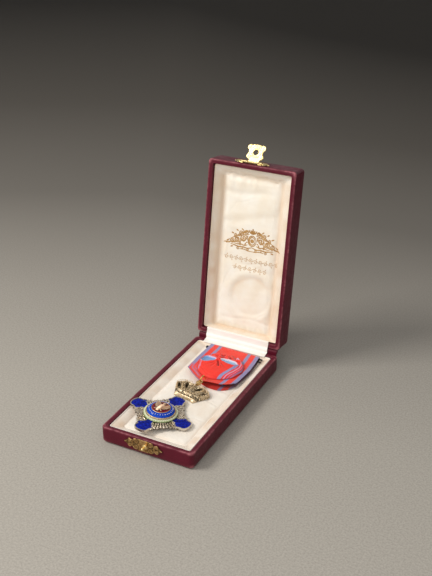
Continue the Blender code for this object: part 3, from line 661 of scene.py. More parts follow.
def cloth_red():
    """Woven ribbon: the colour of each warp stripe comes from the place across the strip."""
    m = Mat("ribbon_silk", rough=0.55, Specular_IOR_Level=0.3, Sheen_Weight=0.5, Sheen_Roughness=0.35,
            Sheen_Tint=(1.0, 0.75, 0.7))
    col = m.attr("tint", "Color")
    n = m.noise(260, 4, 0.6)
    col = m.mix(m.math("MULTIPLY", m.ramp(n, [(0.4, 0.0), (0.7, 1.0)]), 0.22), col, (1.0, 0.28, 0.12), "SOFT_LIGHT")
    col = m.mix(m.math("MULTIPLY", m.attr("shade"), 0.85), col, (0.10, 0.006, 0.008))
    m.color(col)
    rib = m.attr("rib")
    w = m.wave(1.0, co=None)
    h = m.math("ADD", m.math("SINE", m.math("MULTIPLY", rib, 1.0)), m.math("MULTIPLY", m.noise(1500, 3), 0.8))
    m.rough(m.ramp(m.noise(300, 3), [(0.3, 0.42), (0.7, 0.66)]))
    return m.normal(m.bump(h, 0.00004, 0.6))


SILK = cloth_red()


def gilt_print():
    m = Mat("gilt_print", rough=0.45, metal=0.35)
    n = m.noise(600, 4, 0.7)
    m.color(m.mix(m.ramp(n, [(0.35, 0.0), (0.65, 1.0)]), srgb(176, 128, 68), srgb(214, 172, 112)))
    m.rough(m.ramp(m.noise(900, 2), [(0.3, 0.35), (0.7, 0.6)]))
    return m.normal(m.bump(m.noise(1800, 3), 0.00002, 0.4))


PRINT = gilt_print()


# ------------------------------------------------------------------ case shells
NX, NY, NC = 54, 104, 8


def shell(rings):
    V = [np.column_stack([rr(hx, y0, y1, r, NX, NY, NC), np.full(2 * (NX + NY) + 4 * NC, z)]) for hx, y0, y1, r, z in rings]
    return np.vstack(V), loft_faces(len(rings), 2 * (NX + NY) + 4 * NC)


def edge_wear(v, prof_wear, n):
    """Wear of the leather: given per ring, broken up along the ring and stronger at the corners."""
    w = np.repeat(np.asarray(prof_wear, float), n)
    corner = gauss(np.hypot(np.abs(v[:, 0]) - HW, np.abs(v[:, 1]) - HL), 5.0)
    rub = 0.55 + 0.45 * fbm(v[:, 0] / 6, v[:, 1] / 6, v[:, 2] / 3, 11)
    nick = gauss(np.hypot(np.abs(v[:, 0]) - HW + 1.0, np.abs(v[:, 1]) - HL + 1.2), 1.6) * (w > 0.04)
    return np.clip(w * (rub + 0.8 * corner) + 0.8 * nick, 0, 1)


def unevenness(v, amount, seed):
    m = v.copy()
    for k in range(3):
        m[:, k] += amount * fbm(v[:, 0] / 9, v[:, 1] / 9, v[:, 2] / 7, seed + 5 * k, 3)
    return m


# base: (inset, height, corner radius, wear)
BASE_PROFILE = (
    (3.2, 0.02, 0.6, 0), (2.0, 0.02, 1.0, 0), (1.15, 0.12, 1.7, 0.1), (0.5, 0.48, 2.2, 0.35), (0.14, 1.05, 2.5, 0.3),
    (0.0, 1.7, 2.7, 0.05), (0.0, 3.0, 2.7, 0), (-0.03, 5.0, 2.7, 0), (-0.02, 7.0, 2.7, 0), (0.0, 8.7, 2.6, 0.0),
    (0.03, 9.3, 2.5, 0.1), (0.12, 9.72, 2.4, 0.5), (0.28, 9.98, 2.2, 1.0), (0.5, 10.12, 2.0, 0.9), (0.8, 10.2, 1.7, 0.35),
    (1.4, 10.22, 1.0, 0.05), (2.1, 10.2, 0.9, 0), (2.55, 10.16, 0.8, 0.1), (2.82, 10.03, 0.7, 0.25), (2.96, 9.8, 0.6, 0.1),
    (3.0, 9.5, 0.6, 0), (3.0, 6.0, 0.6, 0), (3.0, 1.95, 0.6, 0), (3.3, 1.8, 0.5, 0),
)
LID_PROFILE = (
    (3.3, 23.7, 0.5, 0), (3.0, 23.55, 0.6, 0), (3.0, 17.0, 0.6, 0), (3.0, 12.0, 0.6, 0), (3.0, 11.2, 0.6, 0),
    (2.96, 10.92, 0.6, 0.1), (2.82, 10.68, 0.7, 0.3), (2.55, 10.54, 0.8, 0.15), (2.1, 10.5, 0.9, 0), (1.4, 10.48, 1.0, 0.05),
    (0.8, 10.5, 1.3, 0.35), (0.5, 10.58, 1.5, 0.9), (0.28, 10.72, 1.7, 1.0), (0.12, 10.98, 1.8, 0.5), (0.03, 11.4, 1.9, 0.1),
    (0.0, 12.0, 2.2, 0), (0.0, 14.0, 2.2, 0), (-0.03, 16.5, 2.2, 0), (-0.03, 19.5, 2.2, 0), (0.0, 23.2, 2.2, 0),
    (0.14, 24.1, 2.2, 0.1), (0.5, 24.9, 2.1, 0.3), (1.1, 25.42, 1.9, 0.35), (1.8, 25.64, 1.6, 0.1), (2.6, 25.72, 1.3, 0),
    (4.5, 25.72, 0.8, 0), (10, 25.74, 0.7, 0), (20, 25.76, 0.6, 0),
)
NOTCH = (-22.3, 21.5)
N_RING = 2 * (NX + NY) + 4 * NC


def case_half(name, profile, body, M, lid):
    v, f = shell([(HW - d, -HL + d, HL - d, r, z) for d, z, r, w in profile])
    wear = edge_wear(v, [w for d, z, r, w in profile], N_RING)
    w = unevenness(v, 0.022 if lid else 0.035, 31 if lid else 17)
    flat = 0.02 if lid else 0.0
    if not lid:
        w[:, 2] = np.maximum(w[:, 2], flat)
    seat = (v[:, 0] > NOTCH[0]) & (v[:, 0] < NOTCH[1]) & (v[:, 1] > HL - RIM_W - 0.1)
    if lid:
        near = seat & (v[:, 2] < 13)
        w[near, 2] = np.maximum(w[near, 2], 11.42)
    else:
        near = seat & (v[:, 2] > 7)
        w[near, 2] = np.minimum(w[near, 2], 9.28)
    wear[near] *= 0.2
    side = sst(20, 28.6, v[:, 0]) * (np.abs(v[:, 1]) < HL - 1)
    return put(name, w, f, LEATHER, body, "leather", M, ("case_lid",) if lid else ("case_base",), 50,
               {"wear": wear, "side": side})


case_half("base_shell", BASE_PROFILE, "root", ONE, False)
case_half("lid_shell", LID_PROFILE, "lid", LID, True)


# ------------------------------------------------------------------ linings
def ring_of(hx, y0, y1, r, z, cx=0.0):
    p = rr(hx, y0, y1, r, NX, NY, NC)
    return np.column_stack([p[:, 0] + cx, p[:, 1], np.full(len(p), z)])


def lining(name, rings, mat, body, M, repl, shape, step=0.56, y_front=0.0, sign_edge=False):
    """Padded lining: rings from the hidden skirt to the crease, then the pillow as an even net inside the last ring."""
    V = np.vstack([ring_of(*r) for r in rings])
    n0 = len(V)
    F = loft_faces(len(rings), N_RING, cap1=False)
    edge = V[n0 - N_RING:, :2]
    lo, hi = edge.min(0), edge.max(0)
    g = []
    for r in range(int((hi[1] - lo[1]) / (step * 0.87)) + 1):
        xs = np.arange(lo[0] + (step / 2 if r % 2 else 0), hi[0], step)
        g.append(np.stack([xs, np.full_like(xs, lo[1] + r * step * 0.87)], 1))
    g = np.vstack(g)
    e = np.minimum(np.minimum(g[:, 0] - lo[0], hi[0] - g[:, 0]), np.minimum(g[:, 1] - lo[1], hi[1] - g[:, 1]))
    g = g[e > 0.05]
    g = g[inside(g, edge)]
    g = g[seg_dist(g, edge) > step * 0.5]
    pts = [Vector(q) for q in edge] + [Vector(q) for q in g]
    res = geometry.delaunay_2d_cdt(pts, [(i, (i + 1) % N_RING) for i in range(N_RING)], [], 1, 1e-6)
    v2 = np.array([tuple(q) for q in res[0]])
    tri = np.array([tuple(f) for f in res[2]])
    tri = tri[inside(v2[tri].mean(1), edge)]
    # vertices on the crease keep the ring's own
    index = np.zeros(len(v2), int)
    extra = []
    for k, src in enumerate(res[3]):
        if len(src) and min(src) < N_RING:
            index[k] = n0 - N_RING + min(src)
        else:
            index[k] = n0 + len(extra)
            extra.append(v2[k])
    extra = np.array(extra)
    V = np.vstack([V, np.column_stack([extra, np.full(len(extra), V[n0 - 1, 2])])])
    F += [tuple(int(index[i]) for i in t) for t in tri]
    d = np.concatenate([np.zeros(n0), seg_dist(extra, edge)])
    w = V.copy()
    w[:, 2], age_and_shade = shape(V, n0, d)
    if sign_edge:
        w[:, 1] += 0.45 * (np.sin(w[:, 0] * 0.55 + 0.5) + 0.5 * np.sin(w[:, 0] * 1.35)) * gauss(w[:, 1] - (y_front), 1.9) * (w[:, 2] > 15)
    ob = put(name, w, F, mat, body, "satin", M, repl, 60, {"age_and_shade": age_and_shade})
    return w, F




def crease(x, y, spots):
    """Soft creases in a pillow: (centre x, centre y, direction, length, depth), a furrow with a raised bank."""
    w = np.zeros(len(x))
    for cx, cy, ang, ln, am in spots:
        a = math.radians(ang)
        s = (x - cx) * math.cos(a) + (y - cy) * math.sin(a)
        t = -(x - cx) * math.sin(a) + (y - cy) * math.cos(a) + 0.25 * np.sin(s / 2.1 + cx)
        w -= am * gauss(t, 0.5) * gauss(s, ln)
        w += am * 0.75 * gauss(t - 1.2, 0.8) * gauss(s, ln)
    return w


def base_cloth(v, n0, d):
    z = v[:, 2].copy()
    age_and_shade = np.zeros(len(v))
    x, y = v[:, 0], v[:, 1]
    idx = np.arange(len(v))
    slope = (z > 7.0) & (z < 9.5) & (idx < n0)
    z[slope] += 0.06 * fbm(x[slope] / 5, y[slope] / 5, 0, 41)
    # slopes tinted tan: painted shade below the rim, broken up at random
    age_and_shade[slope] = 0.34 + 0.25 * fbm(x[slope] / 7, y[slope] / 7, 0, 42)
    bed = idx >= n0
    xb, yb, e = x[bed], y[bed], d[bed]
    puff = 0.85 * (1 - np.exp(-e / 1.5))
    wr = 0.10 * fbm(xb / 5.5, yb / 7.5, 0, 43) + 0.05 * fbm((xb + 0.5 * yb) / 2.2, (yb - 0.4 * xb) / 5, 0, 44)
    wr += 0.7 * crease(xb, yb, ((-17.5, 5, 20, 5, .2), (15.5, -6, 160, 7, .2), (14, 8, 175, 6, .2), (16.5, 18, 150, 5, .18),
                                (-17, -38, 40, 4, .18), (9, -4, 15, 6, .14), (-13, -3, 40, 5, .14), (17, -24, 170, 5, .14)))
    under = gauss(np.hypot((xb + 5) / 1.3, yb - (25.35 - HL)), 12) * 0.25 + gauss(np.hypot(xb - 1, (yb - 27) / 1.4), 16) * 0.45
    z[bed] = 6.98 + puff + wr * sst(0, 2.2, e) - under
    # painted shade along the crease at the bed's edge, plus random yellowing
    age_and_shade[bed] = 0.30 * gauss(e, 1.0) + 0.10 * np.clip(fbm(xb / 9, yb / 9, 0, 45), 0, 1)
    return z, np.clip(age_and_shade, 0, 1)


lining("base_satin", [
    (24.9, -52.9, 52.9, 1.2, 2.15), (25.65, -53.7, 53.7, 1.3, 2.3), (25.65, -53.7, 53.7, 1.3, 6.0),
    (25.65, -53.7, 53.7, 1.3, 9.25), (25.58, -53.62, 53.62, 1.3, 9.5), (25.42, -53.46, 53.46, 1.25, 9.6),
    (25.25, -53.28, 53.28, 1.2, 9.56), (25.12, -53.15, 53.2, 1.2, 9.4), (25.02, -53.05, 53.15, 1.2, 9.2),
    (24.4, -52.4, 53.0, 1.3, 9.05), (23.4, -51.5, 52.8, 1.4, 8.72), (22.4, -50.6, 52.6, 1.5, 8.34),
    (21.5, -49.75, 52.4, 1.7, 7.92), (20.7, -49.0, 52.2, 1.9, 7.5), (20.1, -48.45, 52.0, 2.0, 7.15), (19.8, -48.2, 51.9, 2.0, 6.95),
], SATIN, "root", ONE, ("base_lining",), base_cloth)


def lid_cloth(v, n0, d):
    z = v[:, 2].copy()
    age_and_shade = np.zeros(len(v))
    x, y = v[:, 0], v[:, 1]
    u = HL - y                        # height above the hinge edge once open
    idx = np.arange(len(v))
    slope = (z > 13.45) & (z < 17.0) & (idx < n0)
    z[slope] += 0.08 * fbm(x[slope] / 5, y[slope] / 5, 0, 51)
    # slopes tinted tan: painted shade, deeper towards the crease and weaker towards the free edge
    age_and_shade[slope] = 0.36 + 0.2 * fbm(x[slope] / 8, y[slope] / 8, 0, 52) + 0.14 * sst(14.6, 16.8, v[slope, 2])
    age_and_shade[slope] *= 1 - 0.75 * sst(-46.0, -50.5, y[slope])
    wall = (z <= 13.45) & (z > 12.5) & (idx < n0)
    # inner wall and crease ring tinted tan: painted shade
    age_and_shade[wall] = 0.35
    age_and_shade[(z >= 17.0) & (idx < n0)] = 0.5 - 0.3 * sst(-46.0, -48.2, y[(z >= 17.0) & (idx < n0)])
    bed = idx >= n0
    xb, ub, e = x[bed], u[bed], d[bed]
    top = 105.05
    puff = 1.25 * sst(-1.0, 4.6, e) - 1.25 * sst(-1.0, 4.6, 0.0)
    wr = 0.30 * fbm(xb / 15, ub / 13, 0, 53, 3) + 0.06 * fbm(xb / 6, ub / 5, 0, 54)
    # puckers drawn down from the top edge and up from the bottom one
    pk = np.sin(xb * 1.25 + 1.3 * np.sin(xb * 0.37)) * 0.5 + 0.5 * np.sin(xb * 0.71 + 1.0)
    wr += 0.42 * pk * np.exp(-np.clip(top - ub, 0, 99) / 4.6)
    pk2 = np.sin(xb * 0.9 + 2.0 + np.sin(xb * 0.31)) * 0.6 + 0.4 * np.sin(xb * 1.7)
    wr += 0.30 * pk2 * np.exp(-np.clip(ub - 4.7, 0, 99) / 4.0)
    # broad dents across
    wr -= 0.42 * gauss(ub - (95.0 + 1.2 * np.sin(xb / 6.5)), 2.2) * sst(20, 4, xb)
    wr -= 0.30 * gauss(ub - (79.0 + 0.25 * xb), 2.6) + 0.22 * gauss(ub - (49.0 - 0.2 * xb), 2.4)
    wr -= 0.30 * gauss(ub - (12.6 + 0.9 * np.sin((xb + 3) / 5.2)), 1.3) * sst(-19, -12, xb)
    # round dent left by the rosette
    r = np.hypot(xb - 3.8, ub - 28.6)
    a = np.arctan2(ub - 28.6, xb - 3.8)
    rim = 13.9 + 0.5 * np.sin(2 * a + 0.6) + 0.2 * np.sin(5 * a)
    wr += -0.62 * sst(rim + 1.5, rim - 2.0, r) + 0.42 * gauss(r, 6.5) + 0.22 * gauss(r - rim - 2.6, 1.8)
    wr += crease(xb, ub, ((-14, 60, 80, 9, .10), (15, 84, 110, 8, .12), (-12, 86, 60, 7, .07), (14, 45, 95, 9, .11),
                          (-15, 36, 70, 8, .12), (2, 50, 10, 9, .08), (-4, 90, 20, 8, .07), (12, 17, 40, 5, .12), (-9, 22, 130, 6, .11)))
    z[bed] = 17.78 - puff - wr * sst(0, 1.6, e)
    # painted shadow on the upper-left side of the rosette's dent
    dent_shadow_arc = gauss(r - rim + 1.6, 1.2) * sst(-0.2, 0.7, np.sin(a - 0.5))
    # painted shade along the pillow's edge, random yellowing, and the painted dent shadow
    age_and_shade[bed] = 0.42 * gauss(e, 1.3) + 0.08 * np.clip(fbm(xb / 9, ub / 9, 0, 55), 0, 1) + 0.22 * dent_shadow_arc
    return np.where(bed, np.maximum(z, 15.9), z), np.clip(age_and_shade, 0, 1)


LID_CLOTH = lining("lid_satin", [
    (24.9, -52.9, 52.9, 1.2, 23.35), (25.65, -53.7, 53.7, 1.3, 23.2), (25.65, -53.7, 53.7, 1.3, 17.0),
    (25.65, -53.7, 53.7, 1.3, 13.05), (25.6, -53.65, 53.65, 1.3, 12.88), (25.5, -53.55, 53.55, 1.3, 12.8),
    (25.4, -53.45, 53.45, 1.3, 12.9), (25.36, -53.4, 53.4, 1.3, 13.15), (25.3, -53.35, 53.35, 1.3, 13.4),
    (24.9, -53.0, 53.3, 1.3, 13.55, -0.1), (24.3, -52.5, 53.2, 1.4, 13.72, -0.2), (23.5, -51.8, 53.0, 1.5, 14.05, -0.3),
    (22.7, -51.1, 52.9, 1.6, 14.55, -0.45), (21.9, -50.45, 52.75, 1.7, 15.25, -0.6), (21.2, -49.8, 52.6, 1.8, 16.1, -0.75),
    (20.5, -49.15, 52.5, 1.8, 17.0, -0.85), (19.9, -48.6, 52.4, 1.8, 17.6, -0.93), (19.4, -48.15, 52.35, 1.8, 17.8, -1.0),
], SATIN_LID, "lid", LID, ("lid_lining",), lid_cloth, y_front=-48.3, sign_edge=True)


# ------------------------------------------------------------------ cloth strip over the hinge
STRIP = ((52.4, 9.9), (53.4, 9.95), (54.3, 10.0), (55.6, 10.03), (56.5, 10.05), (57.0, 10.2), (57.2, 10.6), (57.15, 11.3),
         (57.12, 11.9), (57.25, 12.45), (57.62, 13.0), (58.0, 13.4), (58.25, 14.0), (58.42, 15.0), (58.55, 16.2), (58.62, 16.9),
         (58.85, 17.15), (59.3, 17.1), (60.2, 16.98))


def strip_piece():
    line = catmull(STRIP, 3, closed=False)
    n = len(line)
    t = np.gradient(line, axis=0)
    t /= np.linalg.norm(t, axis=1, keepdims=True)
    nrm = np.column_stack([-t[:, 1], t[:, 0]])           # towards the front and up
    xs = np.linspace(-22.0, 21.2, 96)
    L = np.concatenate([[0], np.cumsum(np.linalg.norm(np.diff(line, axis=0), axis=1))])
    V, h = [], 0.175
    for s in (1, -1):
        for i in range(n):
            wav = 0.05 * fbm(xs / 3.0, L[i] / 2.0, 0, 61, 3)
            off = s * h + wav
            V.append(np.column_stack([xs + 0.12 * np.sin(L[i] * 1.3), line[i, 0] + off * nrm[i, 0], line[i, 1] + off * nrm[i, 1]]))
    V = np.vstack(V)
    m = len(xs)
    F = []
    for i in range(n - 1):
        for j in range(m - 1):
            a = i * m + j
            F.append((a, a + 1, a + m + 1, a + m))
            b = a + n * m
            F.append((b, b + m, b + m + 1, b + 1))
    for i in range(n - 1):
        for j in (0, m - 1):
            a, b = i * m + j, i * m + j + n * m
            F.append((a, a + m, b + m, b))
    for j in range(m - 1):
        for i in (0, n - 1):
            a, b = i * m + j, i * m + j + n * m
            F.append((a, b, b + 1, a + 1))
    ob = put("hinge_strip", V, F, SATIN_WHITE, None, sharp=60, attrs={"age_and_shade": np.zeros(len(V))})
    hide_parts("hinge_cloth_base", "hinge_cloth_lid")
    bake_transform(ob)
    return ob


strip_piece()

for name in ("hinge_base", "hinge_lid"):
    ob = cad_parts[name]
    ob.data.materials.clear()
    ob.data.materials.append(LEATHER.m)


# ------------------------------------------------------------------ star
ARM_HALF = ((2.6, 7.2), (2.5, 10.9), (3.15, 11.9), (4.5, 12.7), (5.2, 13.8), (5.15, 15.2), (4.6, 16.1), (4.35, 17.0),
            (4.3, 18.0), (3.75, 19.1), (2.6, 19.9), (1.25, 20.3), (0.0, 20.4))


def mirrored(half):
    return [tuple(p) for p in half] + [(-x, y) for x, y in reversed([tuple(p) for p in half]) if x > 1e-6]


def smooth_half(half, n):
    """Mirrored outline, rounded with a curve through its points; the first row of the half stays a straight edge."""
    h = catmull(half, n, closed=False)
    h[:, 0] = np.maximum(h[:, 0], 0)
    return np.array(mirrored(h))


arm = smooth_half(ARM_HALF, 5)
if area2(arm) < 0:
    arm = arm[::-1]
arm_pieces, enamel_names = [], ("enamel_top", "enamel_left", "enamel_bottom", "enamel_right")
rim_w = 0.62
enamel_out = inset(arm, rim_w - 0.05)


def arm_top(x, y, d):
    z = -0.02 + 0.20 * np.sqrt(np.clip(1 - ((d - 0.28) / 0.34) ** 2, 0, 1))
    z = np.where(d > rim_w, -0.62, z)
    z = z + 0.02 * fbm(x * 1.5, y * 1.5, 0, 71)
    return z


V, F, d = relief(arm, [], 0.24, arm_top, -1.2)
arm_dirt = np.zeros(len(V))
arm_dirt[:len(d)] = np.clip(gauss(d - 0.62, 0.12) + (d > 0.62) * 1.0 + 0.25 * fbm(V[:len(d), 0], V[:len(d), 1], 0, 72), 0, 1)
arm_dirt[len(d):] = 0.3
arms_V, arms_F, arms_D = [], [], []
for k in range(4):
    v2, f2 = moved((V, F), rot2(math.radians(90 * k)))
    n = sum(len(a) for a in arms_V)
    arms_V.append(v2)
    arms_F += [tuple(i + n for i in q) for q in f2]
    arms_D.append(arm_dirt)

# rays between the arms: long bars side by side, each in three rising facets that end in a bright step
ray_V, ray_F = [], []
for q in range(4):
    for k in range(9):
        off = -33 + 66 * (k + 0.5) / 9
        a = math.radians(45 + 90 * q + off)
        R = 13.7 + 3.7 * (abs(off) / 33) ** 1.7
        if k % 2:
            R -= 0.5
        half = math.radians(66 / 9 / 2)
        cuts = [7.4, 7.4 + 0.42 * (R - 7.4), 7.4 + 0.74 * (R - 7.4), R - 0.1]
        prof = []
        for r0, r1 in zip(cuts[:-1], cuts[1:]):
            prof += [(r0, -0.46), ((r0 + r1) / 2, -0.24), (r1 - 0.16, 0.0)]
        prof.append((R - 0.02, -0.32))
        n0 = len(ray_V)
        for r, zr in prof:
            w = r * math.tan(half)
            for s, z in ((-w, -1.15), (-w, -0.82), (-w * 0.78, -0.78), (-w * 0.62, zr - 0.16), (0, zr), (w * 0.62, zr - 0.16),
                         (w * 0.78, -0.78), (w, -0.82), (w, -1.15)):
                ray_V.append((r * math.cos(a) - s * math.sin(a), r * math.sin(a) + s * math.cos(a), z))
        m = 9
        for i in range(len(prof) - 1):
            for j in range(m):
                b0, b1 = n0 + i * m + j, n0 + i * m + (j + 1) % m
                ray_F += [(b0, b1, b1 + m), (b0, b1 + m, b0 + m)]
        ray_F.append(tuple(n0 + j for j in range(m)))
        ray_F.append(tuple(n0 + (len(prof) - 1) * m + j for j in range(m - 1, -1, -1)))
rv = np.array(ray_V)
rr_ = np.hypot(rv[:, 0], rv[:, 1])
ray_dirt = np.clip(sst(-0.66, -0.74, rv[:, 2]) * 0.95 + 0.3 * sst(10.2, 8.5, rr_) + 0.2 * fbm(rv[:, 0] * 2, rv[:, 1] * 2, 0, 73), 0, 1)

hub = lathe(((0, -0.2), (9.0, -0.2), (9.3, -0.5), (12.3, -0.72), (12.4, -1.15), (8.4, -1.2), (8.0, -1.9), (7.6, -2.15), (0, -2.15)), 96)
put("star_plate", *merged([(np.vstack(arms_V), arms_F), hub]), SILVER, "root", "silver_gilt", STAR, ("star_body",), 40,
    {"dirt": np.concatenate(arms_D + [np.full(len(hub[0]), 0.9)])})
put("star_rays", rv, ray_F, RAYS, "root", "silver_gilt", STAR, (), None, {"dirt": ray_dirt}, smooth=False)

V, F, d = relief(enamel_out, [], 0.3, lambda x, y, d: -0.22 + 0.16 * (1 - np.exp(-d / 0.45))
                 + 0.05 * fbm(x * 0.9, y * 0.9, 0, 74), -0.58)
edge = np.zeros(len(V))
edge[:len(d)] = np.exp(-d / 0.5)
edge[len(d):] = 1
for k, name in enumerate(enamel_names):
    v2, f2 = moved((V, F), rot2(math.radians(90 * k)))
    put(name + "_glass", v2, f2, BLUE, "root", "blue_enamel", STAR, (name,), 50, {"edge": edge})

# wreath: two overlapping rows of leaves lying round the medallion
leaf_v, leaf_f = ball(1.0, 10, 6)
parts, dirt = [], []
for row, (R, n, lean, z) in enumerate(((9.02, 44, 22, 1.16), (9.5, 44, -20, 0.92))):
    for i in range(n):
        a = 2 * math.pi * (i + 0.5 * row) / n
        s = leaf_v * np.array([0.78, 0.30, 0.26])
        s = s @ rot2(math.radians(90 + lean)).T
        s = s @ rot2(a).T
        parts.append((s + np.array([R * math.cos(a), R * math.sin(a), z]), leaf_f))
base = lathe(((8.9, 1.15), (9.3, 1.1), (9.68, 0.85), (9.78, 0.55), (9.75, 0.25), (8.85, 0.25), (8.85, 0.95)), 128)
parts.append(base)
v, f = merged(parts)
rim = np.hypot(v[:, 0], v[:, 1])
put("wreath_leaves", v, f, GREEN, "root", "green_enamel", STAR, ("wreath_ring",), 60,
    {"edge": np.clip(gauss(v[:, 2] - 1.38, 0.22) + gauss(v[:, 2] - 1.15, 0.12) * (rim > 9.3), 0, 1)})

mount_v, mount_f = lathe(((0, 3.3), (5.19, 3.3), (5.2, 3.75), (5.25, 3.92), (5.34, 3.97), (5.45, 3.9), (5.52, 3.7), (5.6, 3.1),
                          (7.9, 1.6), (8.02, 2.0), (8.12, 2.12), (8.28, 2.14), (8.4, 2.06), (8.52, 1.85), (8.6, 1.5),
                          (8.62, 0.25), (0, 0.25)), 144)
cord = []
for i in range(96):                       # beaded edge
    a = 2 * math.pi * i / 96
    b = ball(0.15, 6, 4)
    cord.append((b[0] + np.array([8.3 * math.cos(a), 8.3 * math.sin(a), 2.12]), b[1]))
for i in range(64):
    a = 2 * math.pi * i / 64
    b = ball(0.11, 6, 4)
    cord.append((b[0] + np.array([5.35 * math.cos(a), 5.35 * math.sin(a), 3.97]), b[1]))
v, f = merged([(mount_v, mount_f)] + cord)
put("medallion_gilt_mount", v, f, GILT, "root", "silver_gilt", STAR, ("medallion_mount",), 40,
    {"dirt": np.concatenate([np.full(len(mount_v), 0.25), np.full(len(v) - len(mount_v), 0.0)])})
v, f = lathe(((5.62, 3.78), (6.0, 3.7), (6.6, 3.45), (7.1, 3.12), (7.5, 2.8), (7.82, 2.4), (7.96, 2.05), (7.8, 1.8), (5.7, 3.3)), 144)
v[:, 2] += 0.02 * fbm(v[:, 0] * 1.3, v[:, 1] * 1.3, 0, 75)
put("blue_ring_glass", v, f, RING_BLUE, "root", "ring_enamel", STAR, ("blue_ring",), 60,
    {"edge": gauss(np.hypot(v[:, 0], v[:, 1]) - 7.9, 0.25)})
dots = []
for i in range(30):
    a = 2 * math.pi * (i + 0.3) / 30
    b = ball(1.0, 8, 5)
    s = b[0] * np.array([0.30, 0.34, 0.2]) @ rot2(a).T
    dots.append((s + np.array([6.82 * math.cos(a), 6.82 * math.sin(a), 3.36]), b[1]))
v, f = merged(dots)
put("ring_dots", v, f, metal("dot_gilt", srgb(252, 250, 244), srgb(226, 222, 220), rough=0.34), "root", "gilt", STAR, (), 60,
    {"dirt": np.zeros(len(v))})
v, f = lathe(((0, 4.2), (1.5, 4.19), (3.0, 4.08), (4.2, 3.95), (4.9, 3.82), (5.14, 3.66), (5.0, 3.5), (0, 3.5)), 96)
put("red_disc_glass", v, f, RED, "root", "red_enamel", STAR, ("red_disc",), 60,
    {"edge": gauss(np.hypot(v[:, 0], v[:, 1]) - 4.7, 0.5)})

EAGLE_HALF = ((0.0, -3.95), (0.35, -3.45), (0.9, -3.8), (1.15, -3.1), (1.0, -2.35), (1.5, -2.75), (2.25, -3.0), (2.45, -2.6),
              (1.75, -1.95), (1.55, -1.25), (2.0, -1.3), (2.45, -1.75), (2.6, -0.9), (3.1, -1.2), (3.15, -0.3), (3.7, -0.5),
              (3.6, 0.45), (4.1, 0.4), (3.85, 1.25), (4.2, 1.5), (3.95, 2.3), (3.35, 3.0), (2.6, 3.15), (1.9, 2.6), (1.3, 1.95),
              (0.75, 1.85), (0.7, 2.4), (0.95, 2.95), (0.65, 3.5), (0.0, 3.75))
eagle = np.array(mirrored(EAGLE_HALF)) * np.array([1.14, 1.2])
eagle[eagle[:, 1] > 2.0, 0] -= 0.0
if area2(eagle) < 0:
    eagle = eagle[::-1]


def eagle_top(x, y, d):
    z = 4.28 + 0.5 * (1 - np.exp(-d / 0.42))
    ax = np.abs(x)
    wing = sst(0.9, 1.5, ax) * sst(-2.2, -1.2, y)
    z = z + wing * 0.16 * np.sin((ax * 0.9 + 0.25 * y) * 2 * math.pi / 0.62)
    body = 1 - sst(0.7, 1.1, ax)
    z = z + body * (0.28 * gauss(y + 0.2, 1.5) + 0.08 * np.sin(y * 2 * math.pi / 0.5))
    z = z + 0.25 * gauss(np.hypot(x - 0.1, y - 3.0), 0.5)
    return z


V, F, d = relief(eagle, [], 0.11, eagle_top, 4.0)
dirt = np.full(len(V), 0.9)
dirt[:len(d)] = np.clip(1.1 * np.exp(-d / 0.13) + 0.25 * (np.sin((np.abs(V[:len(d), 0]) * 0.9 + 0.25 * V[:len(d), 1]) * 2 * math.pi / 0.62) < -0.3), 0, 1)
put("eagle_relief", V, F, metal("eagle_gilt", srgb(252, 226, 196), srgb(232, 184, 152), rough=0.36, darkening=0.9), "root", "gilt",
    STAR, ("eagle",), 50, {"dirt": dirt})


# ------------------------------------------------------------------ crown
CROWN_HALF = ((0, 0.5), (3.0, 0.3), (5.4, -0.1), (6.7, -0.35), (7.4, 0.9), (8.5, 2.9), (9.8, 5.0), (11.1, 7.0), (12.0, 8.9), (11.7, 10.2),
              (10.2, 11.5), (8.2, 12.7), (6.0, 13.4), (3.6, 13.7), (1.6, 13.6), (0, 13.7))
crown_outline = np.array([p for p in smooth_half(CROWN_HALF, 5)])
if area2(crown_outline) < 0:
    crown_outline = crown_outline[::-1]
ARCHES = [catmull(p, 8, closed=False) for p in (
    ((0, 3.3), (0.25, 6), (0.3, 9), (0.2, 11.5), (0, 13.2)),
    ((3.4, 3.2), (4.8, 5.3), (6.2, 7.7), (7.2, 9.8), (6.6, 11.6), (4.2, 12.8), (2.2, 13.2)),
    ((-3.4, 3.2), (-4.8, 5.3), (-6.2, 7.7), (-7.2, 9.8), (-6.6, 11.6), (-4.2, 12.8), (-2.2, 13.2)),
    ((7.0, 3.0), (8.6, 5.0), (10.2, 7.2), (11.2, 9.1), (10.4, 10.7), (8.2, 12.0), (5.6, 12.9)),
    ((-7.0, 3.0), (-8.6, 5.0), (-10.2, 7.2), (-11.2, 9.1), (-10.4, 10.7), (-8.2, 12.0), (-5.6, 12.9)),
)]
SLOTS = ((8.6, 7.3, 0.62, 2.2, 33), (-8.6, 7.3, 0.62, 2.2, -33), (4.2, 9.3, 0.8, 2.7, 26), (-4.2, 9.3, 0.8, 2.7, -26))
SPIRAL = []
for k in range(60):
    t = k / 59
    a = 2.2 * math.pi * 2 * t * 0.85 + 0.6
    r = 2.2 * (1 - t) ** 0.9 + 0.15
    SPIRAL.append((1.9 + 0.62 * r * math.cos(a), 6.2 + 0.8 * r * math.sin(a)))
SPIRAL = np.array(SPIRAL)


def dome(x, y):
    return -2 + 4.2 * np.sqrt(np.clip(1 - (x / 17.0) ** 2 - ((y - 7.3) / 14.5) ** 2, 0.02, 1))


